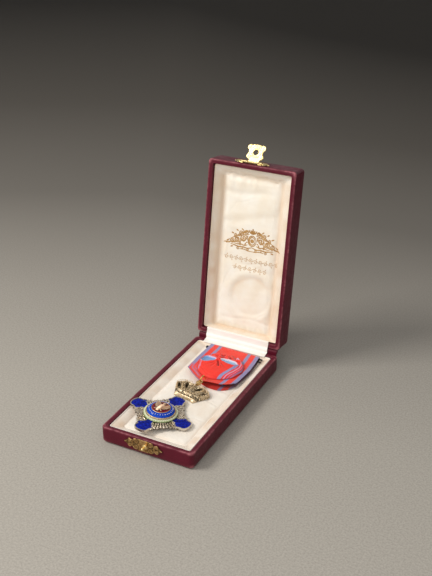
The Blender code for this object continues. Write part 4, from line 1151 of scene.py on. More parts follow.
def crown_fields(x, y, d):
    p = np.column_stack([x, y])
    arch = np.full(len(p), 99.0)
    for a in ARCHES:
        arch = np.minimum(arch, seg_dist(p, a, closed=False))
    slot = np.zeros(len(p))
    for cx, cy, hw, hl, lean in SLOTS:
        a = math.radians(lean)
        s = (x - cx) * math.cos(a) - (y - cy) * math.sin(a)
        t = (x - cx) * math.sin(a) + (y - cy) * math.cos(a)
        slot = np.maximum(slot, sst(1.35, 0.85, np.hypot(s / hw, t / hl)))
    sp = seg_dist(p, SPIRAL, closed=False)
    return arch, slot, sp


def strand(arch):
    return np.cos(2 * math.pi * arch / 0.86) * sst(3.4, 2.2, arch)


def crown_top(x, y, d):
    arch, slot, sp = crown_fields(x, y, d)
    z = dome(x, y) - 0.62
    z = z + 0.5 * gauss(arch, 0.42) + 0.2 * strand(arch) + 0.3 * fbm(x * 1.5, y * 1.5, 0, 86, 3) * (1 - gauss(arch, 0.3))
    z = z - 1.0 * slot * (1 - gauss(arch, 0.35))
    z = z + 0.35 * gauss(sp, 0.28) * (1 - slot * 0.2)
    # band: leans back from the lower edge
    yb = y - 0.012 * x * x
    k = sst(3.7, 3.2, yb)
    bz = dome(x, np.full_like(y, 3.0)) - 0.35 - 1.15 * (1 - np.clip(yb / 3.2, 0, 1)) ** 1.2
    bz = bz + 0.30 * gauss(yb - 0.75, 0.3) - 0.30 * gauss(yb - 1.95, 0.62) + 0.26 * gauss(yb - 3.0, 0.2)
    bz = bz + 0.16 * fbm(x * 1.5, y * 1.5, 0, 85, 3) * sst(0.9, 1.3, yb)
    z = z * (1 - k) + bz * k
    z = z + 0.35 * gauss(np.mod(x + 1.1, 2.2) - 1.1, 0.55) * gauss(yb - 3.6, 0.5)
    grow = 1 - np.exp(-d / (0.75 * (1 - k) + 0.38 * k))
    return -1.1 + 0.28 + np.maximum(z + 0.82, 0.05) * grow


V, F, d = relief(crown_outline, [], 0.2, crown_top, lambda x, y, d: dome(x, y) * 0.0 - 1.1)
arch, slot, sp = crown_fields(V[:len(d), 0], V[:len(d), 1], d)
x_, y_ = V[:len(d), 0], V[:len(d), 1]
dirt = np.full(len(V), 0.4)
yb_ = y_ - 0.012 * x_ * x_
upper = sst(3.2, 3.6, yb_)
ridge_ = gauss(arch, 0.42)
# slots painted near black as shade seen through openings; the other terms are tarnish in the hollows
crown_tarnish_and_slot_shade = 1.0 * slot * (1 - gauss(arch, 0.35)) * (1 - gauss(sp, 0.3))
crown_tarnish_and_slot_shade = crown_tarnish_and_slot_shade + upper * (1 - ridge_) * (0.04 + 0.62 * sst(0.1, -0.6, strand(arch)) + 0.5 * sst(0.0, -0.25, fbm(x_ * 1.5, y_ * 1.5, 0, 86, 3)))
crown_tarnish_and_slot_shade = crown_tarnish_and_slot_shade + (1 - upper) * (0.55 * gauss(yb_ - 2.0, 0.6) + 0.9 * gauss(yb_ - 2.0, 0.6) * gauss(np.mod(x_ + 0.6, 1.2) - 0.6, 0.2))
crown_tarnish_and_slot_shade = crown_tarnish_and_slot_shade + (1 - upper) * 0.75 * sst(0.0, 0.25, fbm(x_ * 1.7, y_ * 1.7, 0, 84)) * sst(0.9, 1.3, yb_)
crown_tarnish_and_slot_shade = crown_tarnish_and_slot_shade + 0.35 * gauss(yb_ - 1.25, 0.14) + 0.7 * gauss(yb_ - 3.35, 0.16)
dirt[:len(d)] = np.clip(crown_tarnish_and_slot_shade, 0, 1)
parts = [(V, F)]
extra_dirt = []
for a in ARCHES:
    L = np.concatenate([[0], np.cumsum(np.linalg.norm(np.diff(a, axis=0), axis=1))])
    for s in np.arange(0.7, L[-1] - 0.3, 0.98):
        px, py = np.interp(s, L, a[:, 0]), np.interp(s, L, a[:, 1])
        b = ball(0.3, 10, 6)
        z = float(crown_top(np.array([px]), np.array([py]), np.array([2.0]))[0])
        parts.append((b[0] + np.array([px, py, z + 0.12]), b[1]))
edge_line = resample(crown_outline, 1.05)
for px, py in inset(edge_line, 0.35):         # beads round the cap's edge
    if py > 3.6 + 0.012 * px * px:
        b = ball(0.27, 8, 5)
        z = float(crown_top(np.array([px]), np.array([py]), np.array([0.35]))[0])
        parts.append((b[0] + np.array([px, py, z + 0.12]), b[1]))
for k in range(11):                      # leaves standing on the band
    x0 = -5.6 + 11.2 * k / 10
    y0 = 3.75 + 0.012 * x0 * x0
    b = ball(1.0, 10, 6)
    z = float(crown_top(np.array([x0]), np.array([y0]), np.array([2.0]))[0])
    parts.append((b[0] * np.array([0.34, 0.52 if k % 2 == 0 else 0.34, 0.34]) + np.array([x0, y0, z + 0.12]), b[1]))
for k in range(13):                      # stones along the band
    x0 = -6.3 + 12.6 * k / 12
    b = ball(1.0, 10, 6)
    s = b[0] * (np.array([0.42, 0.3, 0.28]) if k % 2 else np.array([0.26, 0.42, 0.3]))
    y0 = 2.05 + 0.012 * x0 * x0
    z = float(crown_top(np.array([x0]), np.array([y0]), np.array([1.5]))[0])
    parts.append((s + np.array([x0, y0, z + 0.1]), b[1]))
v, f = merged(parts)
put("crown_relief", v, f, GILT, "root", "gilt", CROWN, ("crown",), 42,
    {"dirt": np.concatenate([dirt, np.zeros(len(v) - len(dirt))])})

orb = ball(1.45, 28, 18)
band = torus(1.47, 0.16, 40, 8)
band2 = (band[0] @ np.array([[1, 0, 0], [0, 0, 1], [0, -1, 0]]).T, band[1])
loop = torus(1.15, 0.34, 40, 12)
bits = [moved(orb, t=(0, 15, 0.6)), moved(band, t=(0, 15, 0.6)), moved(band2, t=(0, 15, 0.6)), moved(loop, t=(0, 17.05, 0.6)),
        moved(lathe(((0, 1.2), (0.7, 1.1), (0.95, 0.6), (0.8, 0), (0.8, -0.6), (0, -0.8)), 24), t=(0, 13.5, 0.9))]
v, f = merged(bits)
put("crown_orb", v, f, metal("orb_gilt", srgb(250, 222, 160), srgb(214, 172, 100), rough=0.2, darkening=0.8), "root", "gilt", CROWN,
    (), 42, {"dirt": np.clip(0.3 * fbm(v[:, 0], v[:, 1], v[:, 2], 82), 0, 1)})
ring = torus(2.3, 0.4, 72, 14)
ring = (ring[0] @ np.array([[0, 0, 1], [0, 1, 0], [-1, 0, 0]]).T, ring[1])
v, f = moved(ring, t=(0, 19.35, 0.6))
put("ring_wire", v, f, BRASS, "root", "gilt", CROWN, ("suspension_ring",), 42,
    {"dirt": np.clip(0.3 * fbm(v[:, 0], v[:, 1], v[:, 2], 83), 0, 1)})


# ------------------------------------------------------------------ ribbon
RIBBON = np.array((     # share of the width, lower layer's end, upper layer's end, end lift of the upper layer
    (0.00, 82.0, 77.0, -0.5), (0.08, 79.0, 74.6, -0.3), (0.16, 76.0, 72.2, 0.0), (0.24, 73.0, 69.9, 0.4), (0.32, 70.0, 67.4, 0.8),
    (0.40, 67.4, 65.5, 1.0), (0.48, 66.0, 65.3, 1.1), (0.56, 65.2, 66.0, 1.1), (0.64, 64.8, 66.6, 1.1), (0.72, 64.7, 66.9, 1.0),
    (0.80, 65.2, 67.3, 0.9), (0.88, 66.6, 68.5, 0.8), (0.95, 69.4, 70.9, 0.6), (1.00, 73.0, 73.9, 0.5)))
EDGES = np.array(((64.0, -15.6, 18.6), (77.0, -15.6, 19.6), (90.0, -15.6, 20.6), (110.0, -15.0, 19.0)))
LOWER_Z, UPPER_Z, FOLD_R = 8.1, 10.4, 1.15
CLOTH_RED, CLOTH_BLUE, CLOTH_DARK = srgb(245, 62, 48), srgb(142, 146, 190), srgb(62, 54, 96)


def stripe(dist):
    """Red (0) to blue-grey (1) by the distance from the nearer selvedge."""
    return np.maximum(sst(2.65, 2.35, dist), gauss(dist - 6.9, 1.2) > 0.45)


def ribbon_piece():
    shares = np.linspace(0, 1, 151)
    nl, nf, nu = 30, 12, 34
    mid_z = (LOWER_Z + UPPER_Z) / 2
    X, Y, Z, S, NYv, NZv = [], [], [], [], [], []
    for sh in shares:
        low, upe, lift = (float(np.interp(sh, RIBBON[:, 0], RIBBON[:, k])) for k in (1, 2, 3))
        back = 109.4 + sh * (108.2 - 109.4) - FOLD_R - 0.4
        el = 0.35 * max(0.0, (sh - 0.8) / 0.2)
        y, z, ny, nz = [], [], [], []
        for k in range(nl):
            t = k / nl
            y.append(low + t * (back - low))
            z.append(LOWER_Z + el * (1 - t))
            ny.append(0.0)
            nz.append(-1.0)
        for k in range(nf + 1):
            a = math.radians(-90 + 180 * k / nf)
            y.append(back + FOLD_R * math.cos(a))
            z.append(mid_z + FOLD_R * math.sin(a))
            ny.append(math.cos(a))
            nz.append(math.sin(a))
        for k in range(1, nu + 1):
            yy = back + (k / nu) * (upe - back)
            t = max(0.0, (72.5 - yy) / max(72.5 - upe, 1e-6))
            y.append(yy)
            z.append(UPPER_Z + lift * t * t)
            ny.append(0.0)
            nz.append(1.0)
        y, z = np.array(y), np.array(z)
        s = np.concatenate([[0], np.cumsum(np.hypot(np.diff(y), np.diff(z)))])
        left, right = np.interp(y, EDGES[:, 0], EDGES[:, 1]), np.interp(y, EDGES[:, 0], EDGES[:, 2])
        x = left + sh * (right - left)
        up = np.arange(len(y)) > nl + nf
        z = z + np.where(up, 0.13 * fbm(x / 7, y / 9, 0, 91, 3) + 0.05 * np.sin(y * 0.9 + x * 0.2), 0.06 * fbm(x / 6, y / 8, 0, 92, 2))
        X.append(x)
        Y.append(y - HL)
        Z.append(z)
        S.append(s)
        NYv.append(ny)
        NZv.append(nz)
    X, Y, Z, S = (np.array(a) for a in (X, Y, Z, S))
    NYv, NZv = np.array(NYv), np.array(NZv)
    h = 0.19
    n, m = X.shape
    rows = []
    for s in (1, -1):
        rows.append(np.stack([X, Y + s * h * NYv, Z + s * h * NZv], 2).reshape(-1, 3))
    V = np.vstack(rows)
    F = []
    N = n * m
    for i in range(n - 1):
        for j in range(m - 1):
            a = i * m + j
            F.append((a, a + 1, a + m + 1, a + m))
            F.append((a + N, a + m + N, a + m + 1 + N, a + 1 + N))
    for i in range(n - 1):
        for j in (0, m - 1):
            a = i * m + j
            F.append((a, a + m, a + m + N, a + N))
    for j in range(m - 1):
        for i in (0, n - 1):
            a = i * m + j
            F.append((a, a + 1, a + 1 + N, a + N))
    width = np.interp(Y + HL, EDGES[:, 0], EDGES[:, 2]) - np.interp(Y + HL, EDGES[:, 0], EDGES[:, 1])
    dist = np.minimum(shares[:, None], 1 - shares[:, None]) * width
    upper_layer = (np.arange(m) > nl + nf)[None, :]
    yf = Y + HL
    end = np.interp(np.broadcast_to(shares[:, None], Y.shape), RIBBON[:, 0], RIBBON[:, 2])
    e_end = (yf - end) * 0.68 + 0.5
    e_side = shares[:, None] * width
    e_rim = np.minimum(e_end, e_side)                   # distance from the gathered lower left edge
    left = upper_layer * sst(0.52, 0.40, shares)[:, None] * sst(84.0, 78.0, yf)
    k = stripe(dist)
    k = k * (1 - left)
    k = np.maximum(k, left * 0.9 * sst(1.15, 0.85, e_rim))
    k = np.maximum(k, left * 0.75 * sst(0.42, 0.22, np.abs(e_rim - 2.6)))
    k = np.maximum(k, left * 0.6 * sst(0.34, 0.18, np.abs(e_rim - 4.2)))
    k = k.reshape(-1, 1)
    tint = np.array(CLOTH_RED) * (1 - k) + np.array(CLOTH_BLUE) * k
    under = np.where(np.arange(m)[None, :] < nl + 2, 0.35 + 0.6 * sst(68, 74, Y + HL), 0.0) * np.ones((n, 1))
    front = np.where(np.arange(m)[None, :] > m - 3, 0.15, 0.0)
    shade = np.clip(under + front, 0, 1).reshape(-1)
    ob = put("ribbon_silk", V, F, SILK, "root", "ribbon_cloth", ONE, ("ribbon",), 60,
             {"tint": np.vstack([tint, tint]), "rib": np.tile((S * 2 * math.pi / 0.55).reshape(-1), 2),
              "shade": np.concatenate([shade, np.clip(shade + 0.2, 0, 1)])})
    return ob


ribbon_piece()

# pin through the fold
PIN = ((21.6, 103.5), (10, 103.9), (0.0, 104.2), (-10, 104.5), (-16.2, 104.7), (-17.0, 105.2), (-17.2, 105.8), (-16.6, 106.3), (-10, 106.3),
       (0.0, 106.2), (10, 106.25), (21.4, 106.4))
pts = catmull([(x, y - HL, (LOWER_Z + UPPER_Z) / 2) for x, y in PIN], 5, closed=False)
v, f = tube(pts, np.full(len(pts), 0.48), 12)
put("pin_wire", v, f, BLACK, "root", "black_steel", ONE, ("pin_bar",), 42, {"dirt": np.zeros(len(v))})


# ------------------------------------------------------------------ rosette
ROS = (3.1, 84.7 - HL)
ROS_SHIFT = (2.3, -2.8)              # the folds below are laid out about a point this far off the middle
LIP = catmull(((-16.6, 2.2), (-14.6, 0.8), (-12.2, -1.4), (-9.3, -3.7), (-6.0, -4.1), (-3.5, -1.9), (-1.0, 0.4), (0.4, 0.5), (2.4, -0.3), (6.0, -1.3),
               (10.0, -1.2), (12.1, 0.8), (16.5, 2.2)), 5, closed=False)
BACKEDGE = catmull(((-16.8, 3.2), (-15.0, 3.6), (-12.5, 4.2), (-9.1, 3.8), (-5.8, 2.8), (-2.8, 1.6), (-1.0, 1.2), (0.4, 2.0), (3.2, 3.2), (6.5, 3.5),
                    (9.6, 3.4), (12.1, 2.9), (16.5, 2.5)), 5, closed=False)
SLIT = catmull(((-0.3, -0.7), (0.5, -2.3), (1.4, -3.9), (2.4, -5.6)), 5, closed=False)
BAND = catmull(((12.4, 4.0), (12.2, 1.0), (11.6, -2.5), (10.2, -7.3), (8.3, -12.4), (7.0, -17.0)), 6, closed=False)
OUTER_BAND = catmull(((9.4, 8.4), (12.2, 6.0), (13.8, 2.0), (13.8, -2.3), (12.5, -7.0), (10.8, -11.5), (9.4, -16.6)), 6, closed=False)
PETAL_L = catmull(((-15.6, 2.9), (-12.5, 3.8), (-9.1, 3.5), (-5.8, 2.5), (-2.8, 1.2), (-3.5, -1.6), (-6.0, -3.9), (-9.3, -3.6), (-12.2, -1.2), (-14.6, 1.0)), 4)
PETAL_R = catmull(((0.3, 1.7), (3.2, 2.9), (6.5, 3.2), (9.6, 3.1), (12.0, 1.6), (10.0, -1.0), (6.0, -1.1), (2.4, -0.1)), 4)


def rosette_fields(x, y):
    x, y = x + ROS_SHIFT[0], y + ROS_SHIFT[1]
    p = np.column_stack([x, y])
    dl, db = seg_dist(p, LIP, False), seg_dist(p, BACKEDGE, False)
    lip_y = np.interp(x, LIP[:, 0], LIP[:, 1])
    back_y = np.interp(x, BACKEDGE[:, 0], BACKEDGE[:, 1])
    return p, dl, db, y - lip_y, y - back_y


def crumple(x, y):
    return (0.55 * fbm(x / 2.6, y / 2.0, 0, 95, 3) + 0.26 * np.sin(x * 1.35 + 0.8 * y + 0.8 * np.sin(y * 0.9))
            + 0.18 * np.sin(x * 0.7 - 1.9 * y))


def rosette_top(x, y, d):
    p, dl, db, above_lip, above_back = rosette_fields(x, y)
    r = np.hypot(x, y)
    a = np.arctan2(y, x)
    fx, fy = p[:, 0], p[:, 1]
    z = 11.7 + 2.2 * np.sqrt(np.clip(1 - (r / 15.0) ** 2, 0, 1))
    z = z + 0.55 * gauss(dl, 1.4)
    mouth = sst(-0.2, 0.9, above_lip) * sst(0.2, -0.9, above_back)
    z = z - 1.0 * mouth * sst(14.3, 12.0, r)
    z = z + 0.45 * gauss(db, 0.9) * (above_back > -0.5)
    sl = seg_dist(p, SLIT, False)
    z = z - 1.2 * gauss(sl, 0.4) + 0.36 * gauss(sl - 1.1, 0.7)
    # pleats fanning out from the slit over the front fold
    ra = np.arctan2(fy + 1.0, fx - 0.5)
    z = z + 0.20 * np.sin(ra * 11 + 0.8 * np.sin(ra * 3)) * gauss(np.hypot(fx - 0.5, fy + 1.0) - 4.6, 3.2) * (above_lip < 0)
    z = z + 0.5 * gauss(np.hypot(fx + 14.8, fy - 4.5), 3.4)
    cr = sst(0.4, 1.8, above_back)
    z = z + cr * crumple(fx, fy)
    z = z - 0.85 * gauss(np.hypot(fx - 7.1, fy - 8.4), 1.0) + 0.8 * gauss(np.hypot(fx - 9.8, fy - 7.9), 1.4)
    # layers stepping down round the outside, each a loop of the ribbon
    for k, (rad, st) in enumerate(((13.2, 0.30), (11.6, 0.24), (9.9, 0.16))):
        rim = rad + 0.35 * np.sin(3 * a + rad) + 0.22 * np.sin(7 * a + 2 * k)
        z = z - st * sst(rim - 0.22, rim + 0.22, r) * sst(14.0, -2.0, above_lip)
    z = z + 0.10 * np.sin(9 * a + 1.2 * r) * sst(7, 12, r) * (above_lip < 0)
    z = z + 0.07 * fbm(x / 2.0, y / 2.0, 0, 96, 3)
    return z - 0.85 * np.exp(-d / 0.5)


def rosette_piece():
    a = np.linspace(0, 2 * math.pi, 120, endpoint=False)
    R = 14.15 + 0.22 * np.sin(3 * a + 1) + 0.16 * np.sin(7 * a) + 0.10 * np.sin(13 * a + 2) + 2.3 * gauss(a - math.radians(157), 0.42)
    out = np.column_stack([R * np.cos(a), R * np.sin(a)])
    V, F, d = relief(out, [], 0.26, rosette_top, 11.05)
    n = len(d)
    x, y = V[:n, 0], V[:n, 1]
    p, dl, db, above_lip, above_back = rosette_fields(x, y)
    fx, fy = p[:, 0], p[:, 1]
    r = np.hypot(x, y)
    ang = np.degrees(np.arctan2(y, x))
    red = np.array(srgb(244, 58, 46))
    tint = np.tile(red, (len(V), 1))

    def paint(mask, colour):
        tint[:n] = tint[:n] * (1 - mask[:, None]) + np.array(colour) * mask[:, None]

    cr = crumple(fx, fy)
    # painted shade in the troughs of the crumpled upper half
    paint(0.62 * sst(0.4, 2.2, above_back) * sst(0.1, -0.5, cr), srgb(160, 18, 34))
    # painted highlight on the crests of the crumples
    paint(0.30 * sst(0.4, 2.2, above_back) * sst(0.2, 0.6, cr), srgb(250, 84, 72))
    # painted highlight: orange sheen over the upper right
    paint(0.45 * sst(2.0, 9.0, fx) * sst(3.5, 6.0, above_back), srgb(244, 104, 56))
    # painted shade: short dark creases across the upper half
    for cx, cy in ((-6.4, 8.2), (-3.0, 8.6), (0.0, 8.1), (3.0, 7.6), (-10.0, 9.8), (-1.5, 6.4), (4.6, 6.3), (-8.0, 6.6)):
        paint(0.75 * gauss((fx - cx) + 0.3 * (fy - cy), 0.35) * gauss(fy - cy, 0.9), srgb(120, 8, 24))
    inL = inside(p, PETAL_L).astype(float)
    inR = inside(p, PETAL_R).astype(float)
    # left petal darkens to navy towards its left end: painted shade
    t = sst(-14.6, -9.4, fx)
    colL = np.array(srgb(28, 34, 104))[None] * (1 - t[:, None]) + np.array(srgb(104, 156, 208))[None] * t[:, None]
    tint[:n] = tint[:n] * (1 - inL[:, None]) + colL * inL[:, None]
    streak = 0.25 * sst(0.1, 0.5, fbm(fx * 0.5, fy * 2.2, 0, 97, 3))
    paint(streak * inL, srgb(190, 206, 232))
    paint(inR, srgb(128, 172, 210))
    paint(0.5 * inR * sst(0.0, 0.4, fbm(fx * 0.5, fy * 2.2, 0, 98, 3)), srgb(196, 214, 232))
    paint(0.8 * (seg_dist(p, PETAL_R) < 0.24) * (above_back > -1.2), srgb(236, 232, 240))
    paint(0.75 * (seg_dist(p, PETAL_L) < 0.26) * ((above_lip < 0.8) | (fx > -9)), srgb(214, 206, 232))
    bd = seg_dist(p, BAND, False)
    od = seg_dist(p, OUTER_BAND, False)
    paint(sst(1.05, 0.85, bd) * (1 - inR) * (fy < 2.4), srgb(146, 150, 192))
    for off, w, c in ((0.0, 0.24, (222, 176, 208)), (1.3, 0.12, (190, 150, 200)), (2.3, 0.22, (150, 146, 196))):
        side = 1.0 if off == 0 else (np.hypot(fx + 2.3, fy + 2.8) > np.hypot(np.interp(-fy, -OUTER_BAND[:, 1], OUTER_BAND[:, 0]) + 2.3, fy + 2.8))
        paint(0.85 * sst(w + 0.16, w, np.abs(od - off)) * side * (fy < 8.6), srgb(*c))
    # lilac selvedges of the loops showing at the left
    paint(0.9 * sst(0.75, 0.5, d) * sst(124, 132, ang) * sst(186, 178, np.where(ang < 0, ang + 360, ang)), srgb(176, 168, 208))
    for rad, lo_, hi_ in ((12.9, 172, 214), (13.6, 196, 222)):
        rim = rad + 0.35 * np.sin(3 * np.radians(ang) + rad)
        full = np.where(ang < 0, ang + 360, ang)
        paint(0.8 * sst(0.45, 0.28, np.abs(r - rim)) * sst(lo_, lo_ + 8, full) * sst(hi_, hi_ - 8, full), srgb(196, 150, 190))
    # painted shade in the troughs of the pleats round the slit
    pl = np.sin(np.arctan2(fy + 1.0, fx - 0.5) * 11 + 0.8 * np.sin(np.arctan2(fy + 1.0, fx - 0.5) * 3))
    paint(0.42 * sst(0.1, -0.8, pl) * gauss(np.hypot(fx - 0.5, fy + 1.0) - 4.2, 2.6) * (above_lip < -0.3), srgb(196, 24, 30))
    knot = sst(1.9, 1.4, np.hypot((fx - 9.8), (fy - 7.9)))
    paint(knot, srgb(230, 190, 220))
    paint(knot * (np.mod(fx + 0.6 * fy, 1.2) < 0.42), srgb(206, 60, 96))
    shade = np.zeros(len(V))
    shade[:n] = np.clip(0.95 * gauss(seg_dist(p, SLIT, False), 0.32) + 0.9 * gauss(np.hypot(fx - 7.1, fy - 8.4), 0.8)
                        + 0.55 * np.exp(-d / 0.3) + 0.3 * gauss(above_lip - 0.5, 0.5) * (r < 12.5)
                        + 0.40 * sst(0.3, 1.5, above_back) * np.clip(-cr, 0, 1), 0, 1)
    shade[n:] = 0.7
    V[:, 0] += ROS[0]
    V[:, 1] += ROS[1]
    ob = put("rosette_silk", V, F, SILK, "root", "ribbon_cloth", ONE, ("rosette",), 60,
             {"tint": tint, "rib": np.concatenate([r, r]) * 2 * math.pi / 0.55, "shade": shade})
    return ob


rosette_piece()


# ------------------------------------------------------------------ clasp
def spiral(cx, cy, r0, turns, start_deg, direction=1, r1=0.12, n=40, sx=1.0):
    t = np.linspace(0, 1, n)
    a = math.radians(start_deg) + direction * turns * 2 * math.pi * t
    r = r0 * (1 - t) ** 0.9 + r1
    return np.column_stack([cx + sx * r * np.cos(a), cy + r * np.sin(a)])


def mirror_path(p, axis=0.0):
    q = np.array(p, float)
    q[:, 0] = 2 * axis - q[:, 0]
    return q


def chased(paths, pits, height, face, rim=0.22, rim_w=0.3):
    """Chased face: a raised edge, rounded scrolls along the paths, and small sunk pits."""
    def top(x, y, d):
        p = np.column_stack([x, y])
        z = face + rim * gauss(d - rim_w, rim_w * 0.8) - 0.18 * np.exp(-d / 0.1)
        sp = np.full(len(p), 9.0)
        for a in paths:
            sp = np.minimum(sp, seg_dist(p, a, closed=False))
        z = z + height * gauss(sp, 0.3)
        for cx, cy, r in pits:
            z = z - (face + 0.02) * 0.75 * sst(r * 1.15, r * 0.75, np.hypot(x - cx, y - cy))
        return z + 0.02 * fbm(x * 1.6, y * 1.6, 0, 101)
    return top


def chased_dirt(V, n, paths, pits, amount=0.8):
    p = V[:n, :2]
    sp = np.full(n, 9.0)
    for a in paths:
        sp = np.minimum(sp, seg_dist(p, a, closed=False))
    out = amount * gauss(sp - 0.62, 0.26)
    for cx, cy, r in pits:
        out = np.maximum(out, sst(r * 1.15, r * 0.8, np.hypot(p[:, 0] - cx, p[:, 1] - cy)))
    d = np.full(len(V), 0.35)
    d[:n] = np.clip(out + 0.2 * np.clip(fbm(p[:, 0], p[:, 1], 0, 102), 0, 1), 0, 1)
    return d


CATCH_HALF = ((0.0, -3.6), (2.0, -3.8), (4.2, -3.52), (6.0, -3.4), (6.4, -2.4), (7.4, -2.2), (8.3, -2.9), (9.5, -2.5),
              (10.0, -1.4), (10.9, -0.9), (12.2, 0.0), (10.9, 0.9), (10.0, 1.4), (9.6, 2.4), (8.5, 2.9), (7.4, 2.3),
              (6.4, 2.5), (6.0, 3.4), (4.2, 3.52), (2.0, 3.8), (0.0, 3.6))


def both(paths, axis=0.0):
    return list(paths) + [mirror_path(p, axis) for p in paths]


catch_paths = both([
    spiral(8.5, 1.3, 1.15, 1.3, 200, -1), spiral(8.5, -1.3, 1.15, 1.3, 160, 1), spiral(4.6, 1.7, 1.4, 1.4, 20, 1),
    spiral(4.6, -1.7, 1.4, 1.4, -20, -1),
    catmull(((9.6, 0.0), (10.6, 0.25), (11.5, 0.0)), 6, closed=False), catmull(((6.4, 1.6), (7.0, 0.5), (6.4, 0), (7.0, -0.5), (6.4, -1.6)), 6, closed=False)])
catch_pits = [(s * 6.9, t * 1.55, 0.3) for s in (-1, 1) for t in (-1, 1)] + [(s * 10.0, 0, 0.34) for s in (-1, 1)]
outl = smooth_half(CATCH_HALF, 4)
if area2(outl) < 0:
    outl = outl[::-1]
full_face = chased(catch_paths, catch_pits, 0.22, 0.42, rim=0.14)


def catch_top(x, y, d):
    """Lower relief where the shut hasp lies over the plate, so that the two keep their gap."""
    z = full_face(x, y, d)
    cover = sst(7.6, 6.5, np.abs(x - (HASP_PIN[0] + 1.3)))
    return z * (1 - cover) + (0.36 + (z - 0.42) * 0.62) * cover


V, F, d = relief(outl, [], 0.17, catch_top, 0.0)
assert (V[np.abs(V[:, 0] - (HASP_PIN[0] + 1.3)) < 6.1, 2] < 0.62).all()
dirt = chased_dirt(V, len(d), catch_paths, catch_pits, 0.9)
kn = lathe(((0, 3.3), (0.4, 3.25), (0.7, 3.02), (0.85, 2.65), (0.85, 2.3), (0.72, 1.95), (0.6, 1.7), (0.6, 0.72), (1.1, 0.58), (1.4, 0.35), (0, 0.3)), 40)
kn = moved(kn, t=(0.8, -0.35, 0))
put("catch_chased", V, F, BRASS_AGED, "root", "clasp_brass", T(-1.3, -HL - 0.3, 6.25) @ UPRIGHT, ("catch_plate",), 45,
    {"dirt": dirt})
# knob in the lit brass: painted highlight
put("catch_knob", *kn, BRASS_LIT, "root", "clasp_brass", T(-1.3, -HL - 0.3, 6.25) @ UPRIGHT, (), 45, {"dirt": np.zeros(len(kn[0]))})

LID_PLATE_HALF = ((0.0, 11.1), (4.9, 11.15), (6.9, 11.15), (7.4, 12.0), (8.4, 11.4), (9.3, 12.2), (9.9, 13.4), (11.4, 14.2),
                  (10.0, 15.1), (9.4, 16.4), (8.3, 17.1), (7.2, 16.6), (6.4, 17.6), (4.0, 17.8), (2.0, 18.3), (0.0, 18.0))
lp = [(0.0, 13.1), (4.85, 13.1), (4.9, 11.1)] + list(LID_PLATE_HALF[2:])
outl = catmull(LID_PLATE_HALF[2:], 4, closed=False)
outl = np.vstack([[(0.0, 13.1), (4.85, 13.1), (4.92, 11.12)], outl])
outl[:, 0] = np.maximum(outl[:, 0], 0)
outl = np.array(mirrored(outl))
if area2(outl) < 0:
    outl = outl[::-1]
lid_paths = both([spiral(8.4, 14.6, 1.4, 1.4, -60, 1), spiral(4.4, 15.9, 1.3, 1.4, 200, -1), spiral(8.0, 12.6, 0.7, 1.1, 90, 1),
                  catmull(((0.3, 17.2), (1.6, 17.2), (2.6, 16.4), (2.0, 15.0), (0.6, 14.2)), 6, closed=False),
                  catmull(((5.5, 12.2), (6.2, 13.2), (6.2, 14.6)), 6, closed=False)])
lid_pits = [(s * 6.3, 16.4, 0.3) for s in (-1, 1)] + [(s * 9.9, 13.9, 0.3) for s in (-1, 1)]
V, F, d = relief(outl, [], 0.17, chased(lid_paths, lid_pits, 0.34, 0.42), 0.0)
dirt = chased_dirt(V, len(d), lid_paths, lid_pits, 0.8)
put("lid_plate_chased", V, F, BRASS_LIT, "lid", "clasp_brass", LID @ T(-1.5, -HL - 0.3, 0) @ UPRIGHT, ("lid_plate",), 45,
    {"dirt": dirt})


def knuckle(x0, x1, r=0.55):
    v, f = lathe(((0, 0), (r * 0.8, 0), (r, 0.08), (r, x1 - x0 - 0.08), (r * 0.8, x1 - x0), (0, x1 - x0)), 24)
    return np.column_stack([v[:, 2] + x0, v[:, 0], v[:, 1]]), f


v, f = merged([knuckle(-1.5 - 6.4, HASP_PIN[0] - 3.75), knuckle(HASP_PIN[0] + 3.75, -1.5 + 7.4)])
put("lid_plate_knuckles", v, f, BRASS_LIT, "lid", "clasp_brass", LID @ T(0, HASP_PIN[1], HASP_PIN[2]), (), 45,
    {"dirt": np.full(len(v), 0.1)})

HASP_HALF = ((0.0, -11.3), (2.3, -11.15), (2.9, -10.7), (3.6, -11.1), (4.8, -10.9), (5.7, -10.2), (6.0, -9.1), (5.7, -8.1),
             (5.0, -7.3), (4.7, -6.2), (4.9, -5.2), (5.4, -4.4), (5.7, -3.5), (5.2, -2.6), (4.2, -1.9), (3.5, -1.3), (3.4, 0.0))
outl = smooth_half(HASP_HALF, 4)
outl[:, 1] = np.minimum(outl[:, 1], 0)
if area2(outl) < 0:
    outl = outl[::-1]
HOLE = [(1.6 * math.cos(2 * math.pi * k / 40), -6.3 + 1.6 * math.sin(2 * math.pi * k / 40)) for k in range(40)]
hasp_paths = both([spiral(4.4, -9.6, 1.05, 1.2, 250, 1), spiral(4.2, -3.6, 1.0, 1.2, 60, 1),
                   catmull(((0.4, -10.4), (1.6, -10.3), (2.6, -9.6), (3.2, -8.4)), 6, closed=False),
                   catmull(((3.9, -7.8), (3.9, -6.3), (4.1, -5.2)), 6, closed=False)])
ring_path = np.array([(2.15 * math.cos(t), -6.3 + 2.15 * math.sin(t)) for t in np.linspace(0, 2 * math.pi, 60)])
ring2 = np.array([(2.9 * math.cos(t), -6.3 + 2.9 * math.sin(t)) for t in np.linspace(0, 2 * math.pi, 60)])
